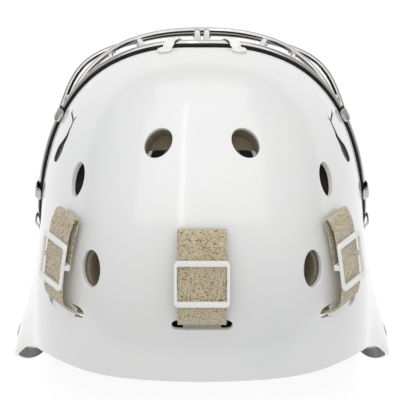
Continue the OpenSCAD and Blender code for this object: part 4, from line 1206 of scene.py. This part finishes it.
for node in ("crown_slide", "upper_slide_left", "upper_slide_right"):
    softEdges(node, mats["white"], "white_plastic", node + "_body", 0.45)
print("slides done")

plateSet = {"halfW": 64, "h": 104, "z": 128, "back": 78, "r": 105, "t": 3}
plateY = maskForm["centre"][1] + plateSet["back"]
cornerX, cornerZ = plateSet["halfW"] - 20, plateSet["h"] / 2 - 14
elasticSet = {"w": 25.0, "t": 1.6, "out": 0.5, "anchor": (-28, 115.5), "anchorGap": 1.2}


def elasticRun(corner, end, lead, across, flatL, leadL, n=48):
    e = elasticSet
    turn = math.asin(corner[0] / plateSet["r"])
    out = np.array([math.sin(turn), math.cos(turn), 0])
    hub = np.array([0, plateY - plateSet["r"], plateSet["z"] + corner[1]])
    hub = hub + (plateSet["r"] + e["out"] + e["t"] / 2) * out
    way = unit((end - hub) - out * ((end - hub) @ out))
    side = unit(np.cross(way, out))
    start, stop = hub + way * 7, end + lead * flatL
    a, b = start + way * 26, stop + lead * leadL
    t = np.linspace(0, 1, n)[:, None]
    bend = (1 - t) ** 3 * start + 3 * t * (1 - t) ** 2 * a + 3 * t * t * (1 - t) * b + t ** 3 * stop
    first = hub - way * 7 + (start - hub + way * 7) * np.linspace(0, 1, 8)[:-1, None]
    last = stop + (end - stop) * np.linspace(0, 1, 6)[1:, None]
    pts = np.vstack([first, bend, last])
    share = np.concatenate([np.zeros(7), t[:, 0], np.ones(5)])
    flip = 1 if side @ across > 0 else -1
    along = unit(np.gradient(pts, axis=0))
    wide = side + (flip * across - side) * ease(share)[:, None]
    s = unit(wide - along * dot(wide, along)[:, None])
    return pts, s, unit(np.cross(s, along)), hub, end


def ribbon(name, pts, side, up, width, thick, material, cols=9):
    sect = sectionOf(cols)
    ring = [pts + side * (width / 2 * a) + up * (s * thick / 2 * (0.55 if abs(a) == 1 else 1)) for a, s in sect]
    return strip(name, ring, [a * width / 2 for a, s in sect], runOf(pts), material, 60)


def buildElastics():
    def strapEnd(s):
        o, x, y, z = strapAxes(s)
        path = strapPath(s)
        way = unit(path[0] - path[1])
        lead = y * way[0] + z * way[1]
        end = o + y * path[0][0] + z * path[0][1] + lead * 0.3
        return elasticRun((s["corner"][0] * cornerX, s["corner"][1] * cornerZ), end, lead, x, 4, 16)

    d = np.array(elasticSet["anchor"], float)
    n = normalAt(d)
    toRim = form(d + [0, 3]) - form(d)
    back = unit(toRim - n * (toRim @ n))
    hole = form(d) + n * (-maskForm["wall"] - elasticSet["anchorGap"] - elasticSet["t"] / 2)
    upper = strapEnd(straps["upper"])
    jaw = elasticRun((cornerX, -cornerZ), hole - back * 8, back, np.cross(n, back), 15, 10)
    runs = {"crown_elastic": strapEnd(straps["crown"]), "upper_elastic_left": upper, "upper_elastic_right": upper,
            "lower_elastic_left": jaw, "lower_elastic_right": jaw}
    for node, (pts, side, up, hub, end) in runs.items():
        band = ribbon(node + "_look", pts, side, up, elasticSet["w"], elasticSet["t"], mats["elastic"])
        ends = [np.array(end) / 1000, np.array(hub) / 1000]
        if node.endswith("_right"):
            mirrored(band)
            ends = [e * [-1, 1, 1] for e in ends]
        finished(band, None, "webbing", mats["elastic"], node)
        tuple(ends[0])
        tuple(ends[1])
        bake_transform(band)


buildElastics()
print("elastics done")

# foam pads as turn from, turn to, sweep from, sweep to, thickness and gap to the wall
pads = {
    "forehead_pad": (57, 123, 53, 80, 15, 1.1), "sweatband": (64, 116, 56, 66, 4, 16.6),
    "crown_pad": (57, 123, 91, 115, 15, 1.1), "temple_pad": (30, 51, 73, 98, 15, 1.1),
    "side_pad": (-10, 20, 91, 100, 15, 1.1), "jaw_pad": (-44, -20, 91.5, 104.5, 15, 1.1),
    "chin_bumper": (-112, -68, 39, 46.5, 8, 1.1),
}
# each pad that a vent cuts, with the vent, the cut's depth and its shift
ventedPads = {"forehead_pad": (vents[0], 15, 0), "crown_pad": (vents[2], 14, 3.5)}


def padMesh(name, turnA, turnB, sweepA, sweepB, thick, gap, n=36):
    bulge = lambda t: (1 - abs(2 * t - 1) ** 4) ** 0.6
    u, v = np.meshgrid(np.linspace(0, 1, n + 1), np.linspace(0, 1, n + 1), indexing="ij")
    pull = 0.03 * (1 - 4 * (v - 0.5) ** 2)
    d = np.stack([turnA + (turnB - turnA) * (0.5 + (u - 0.5) * (1 - pull)), sweepA + (sweepB - sweepA) * v], -1)
    depth = 0.3 * thick + 0.7 * thick * bulge(u) * bulge(v)
    high = -maskForm["wall"] - gap
    outer = onForm(d, np.full(u.shape, high)).reshape(-1, 3)
    inner = onForm(d, high - depth).reshape(-1, 3)
    m = n + 1
    base = m * m
    skin = gridFaces(m, m)
    walk = list(range(m)) + [i * m + n for i in range(1, m)]
    walk += [n * m + j for j in range(n - 1, -1, -1)] + [i * m for i in range(n - 1, 0, -1)]
    side = [(a, b, b + base, a + base) for a, b in zip(walk, walk[1:] + walk[:1])]
    faces = skin.tolist() + (skin[:, ::-1] + base).tolist() + side
    index = [0] * len(skin) + [1] * len(skin) + [0] * len(side)
    foam = mats["darkFoam" if "temple" in name else "foam"]
    return makeMesh(name, np.vstack([outer, inner]), faces, [foam, mats["cover"]], index)


def buildPad(node, kind):
    pad = outward(padMesh(node + "_look", *pads[kind]))
    if node.endswith("_right"):
        mirrored(pad)
    if kind in ventedPads:
        vent, deep, aside = ventedPads[kind]
        plugs = ventCutter(vent, [(0.6, -2.5), (0.2, -deep)], aside)
        tool = outward(makeMesh("padTool", *joined([plugs, mirrorX(*plugs)]), [mats["foam"]]))
        cut(pad, tool, material_mode="TRANSFER")
    if kind in ventedPads or kind == "sweatband":
        bevel(pad, 1.2, 3, 50)
    else:
        pad = puffed(pad, voxel=0.003 if kind == "chin_bumper" else 0.0045)
    smoothBy(pad, 60)
    slot, finish = ("sweat_fabric", mats["towel"]) if kind == "sweatband" else ("foam", None)
    finished(pad, "mask", slot, finish, node)


def buildPads():
    for kind in pads:
        for side in ("_left", "_right") if kind in ("temple_pad", "side_pad", "jaw_pad") else ("",):
            buildPad(kind + side, kind)


buildPads()
print("lining done")

for node, edge, padEdge, segments in (("back_plate", 0.7, 3.0, 5), ("chin_cup", 0.6, 2.0, 4)):
    softEdges(node, mats["shellPlastic"], "shell_plastic", node + "_body", edge, 3, 35)
    cushion = softEdges(node + "_pad", mats["cover"], "foam", node + "_body", padEdge, segments, 35, 60, 0.25)
for node in ("chin_sling_left", "chin_sling_right"):
    softEdges(node, mats["elastic"], "webbing", "chin_cup_body", 0.3, 2, 35, 50)
for node, slotName, finish in (
    ("throat_eyelets", "plated_steel", "steel"), ("cage_nuts", "plated_steel", "steel"),
    ("jaw_anchors", "white_plastic", "white"), ("snap_studs", "plated_steel", "steel"),
    ("plate_rivets", "plated_steel", "steel"),
):
    softEdges(node, mats[finish], slotName, "back_plate_body" if node == "plate_rivets" else "mask", 0.12, 2, 30, 35)
print("plate, cup and hardware done")


def buildStage():
    stage = {"floor": 6.0, "tone": 0.3, "glow": 0.8, "sky": [(0.05, 0.4), (0.8, 0.78)]}
    h = stage["floor"] * 500
    floor = makeMesh("studioFloor", [(-h, -h, 0), (h, -h, 0), (h, h, 0), (-h, h, 0)], [(0, 1, 2, 3)])
    s = shader("floorPaper", Specular_IOR_Level=0.1, Emission_Strength=stage["glow"])
    s.base.inputs["Emission Color"].default_value = (1, 1, 1, 1)
    tone = s.colours(s.noise(3, 2), (0.3, (stage["tone"],) * 3), (0.8, (stage["tone"] * 0.99,) * 3))
    floor.data.materials.append(s.done(tone, s.ramp(s.noise(20), 0, 1, 0.8, 0.9)))
    world = bpy.data.worlds.new("softWorld")
    scene.world = world
    world.use_nodes = True
    # a room that is darker towards the horizon, so that the sides of the white shell stand out
    tree, back = world.node_tree, world.node_tree.nodes["Background"]
    way = addNode(tree, "ShaderNodeTexCoord").outputs["Generated"]
    part = addNode(tree, "ShaderNodeSeparateXYZ", {"Vector": way}).outputs["Z"]
    ramp = addNode(tree, "ShaderNodeValToRGB", {"Fac": part})
    plug(tree, ramp.outputs["Color"], back.inputs["Color"])
    for stop, (place, level) in zip(ramp.color_ramp.elements, stage["sky"]):
        stop.position, stop.color = place, (level, level, level, 1)
    back.inputs["Strength"].default_value = 1.0
    # a wide box overhead, a slim strip under it and a box ahead; power is for the radiance given
    boxes = {
        "overBox": ((0.0, -0.55, 1.6), (0, 0, 0), 2.0, 2.2, 0.78),
        "stripBox": ((0.145, -0.5, 1.52), (0, 0, 0), 0.05, 2.8, 2.6),
        "frontBox": ((0.0, -1.93, 1.22), (52, 0, 0), 1.5, 1.0, 0.85),
    }
    for name, (at, turn, w, l, radiance) in boxes.items():
        lamp = bpy.data.lights.new(name, "AREA")
        lamp.shape, lamp.size, lamp.size_y, lamp.energy = "RECTANGLE", w, l, radiance * math.pi * w * l
        obj = link(bpy.data.objects.new(name, lamp))
        obj.location, obj.rotation_euler = at, [math.radians(a) for a in turn]


def buildCamera():
    # fitted to the photograph: from behind and above
    view = {"focal": 2790.7, "side": 400, "elevation": 78, "target": (0, 0.0104, 0.2493), "far": 1.8, "offset": 2}
    e = math.radians(view["elevation"])
    back = Vector((0, math.cos(e), math.sin(e)))
    camera = link(bpy.data.objects.new("photoCamera", bpy.data.cameras.new("photoCamera")))
    camera.data.sensor_width = 36
    camera.data.lens = view["focal"] / view["side"] * 36
    camera.data.shift_x = -view["offset"] / view["side"]
    camera.data.clip_start, camera.data.clip_end = 0.05, 20
    up = Vector((0, -math.sin(e), math.cos(e)))
    right = up.cross(back)
    at = Vector(view["target"]) + back * view["far"]
    camera.matrix_world = Matrix((
        (right.x, up.x, back.x, at.x), (right.y, up.y, back.y, at.y), (right.z, up.z, back.z, at.z), (0, 0, 0, 1)))
    scene.camera = camera


buildStage()
buildCamera()
scene.view_settings.view_transform = "Standard"
print("stage and camera ready")
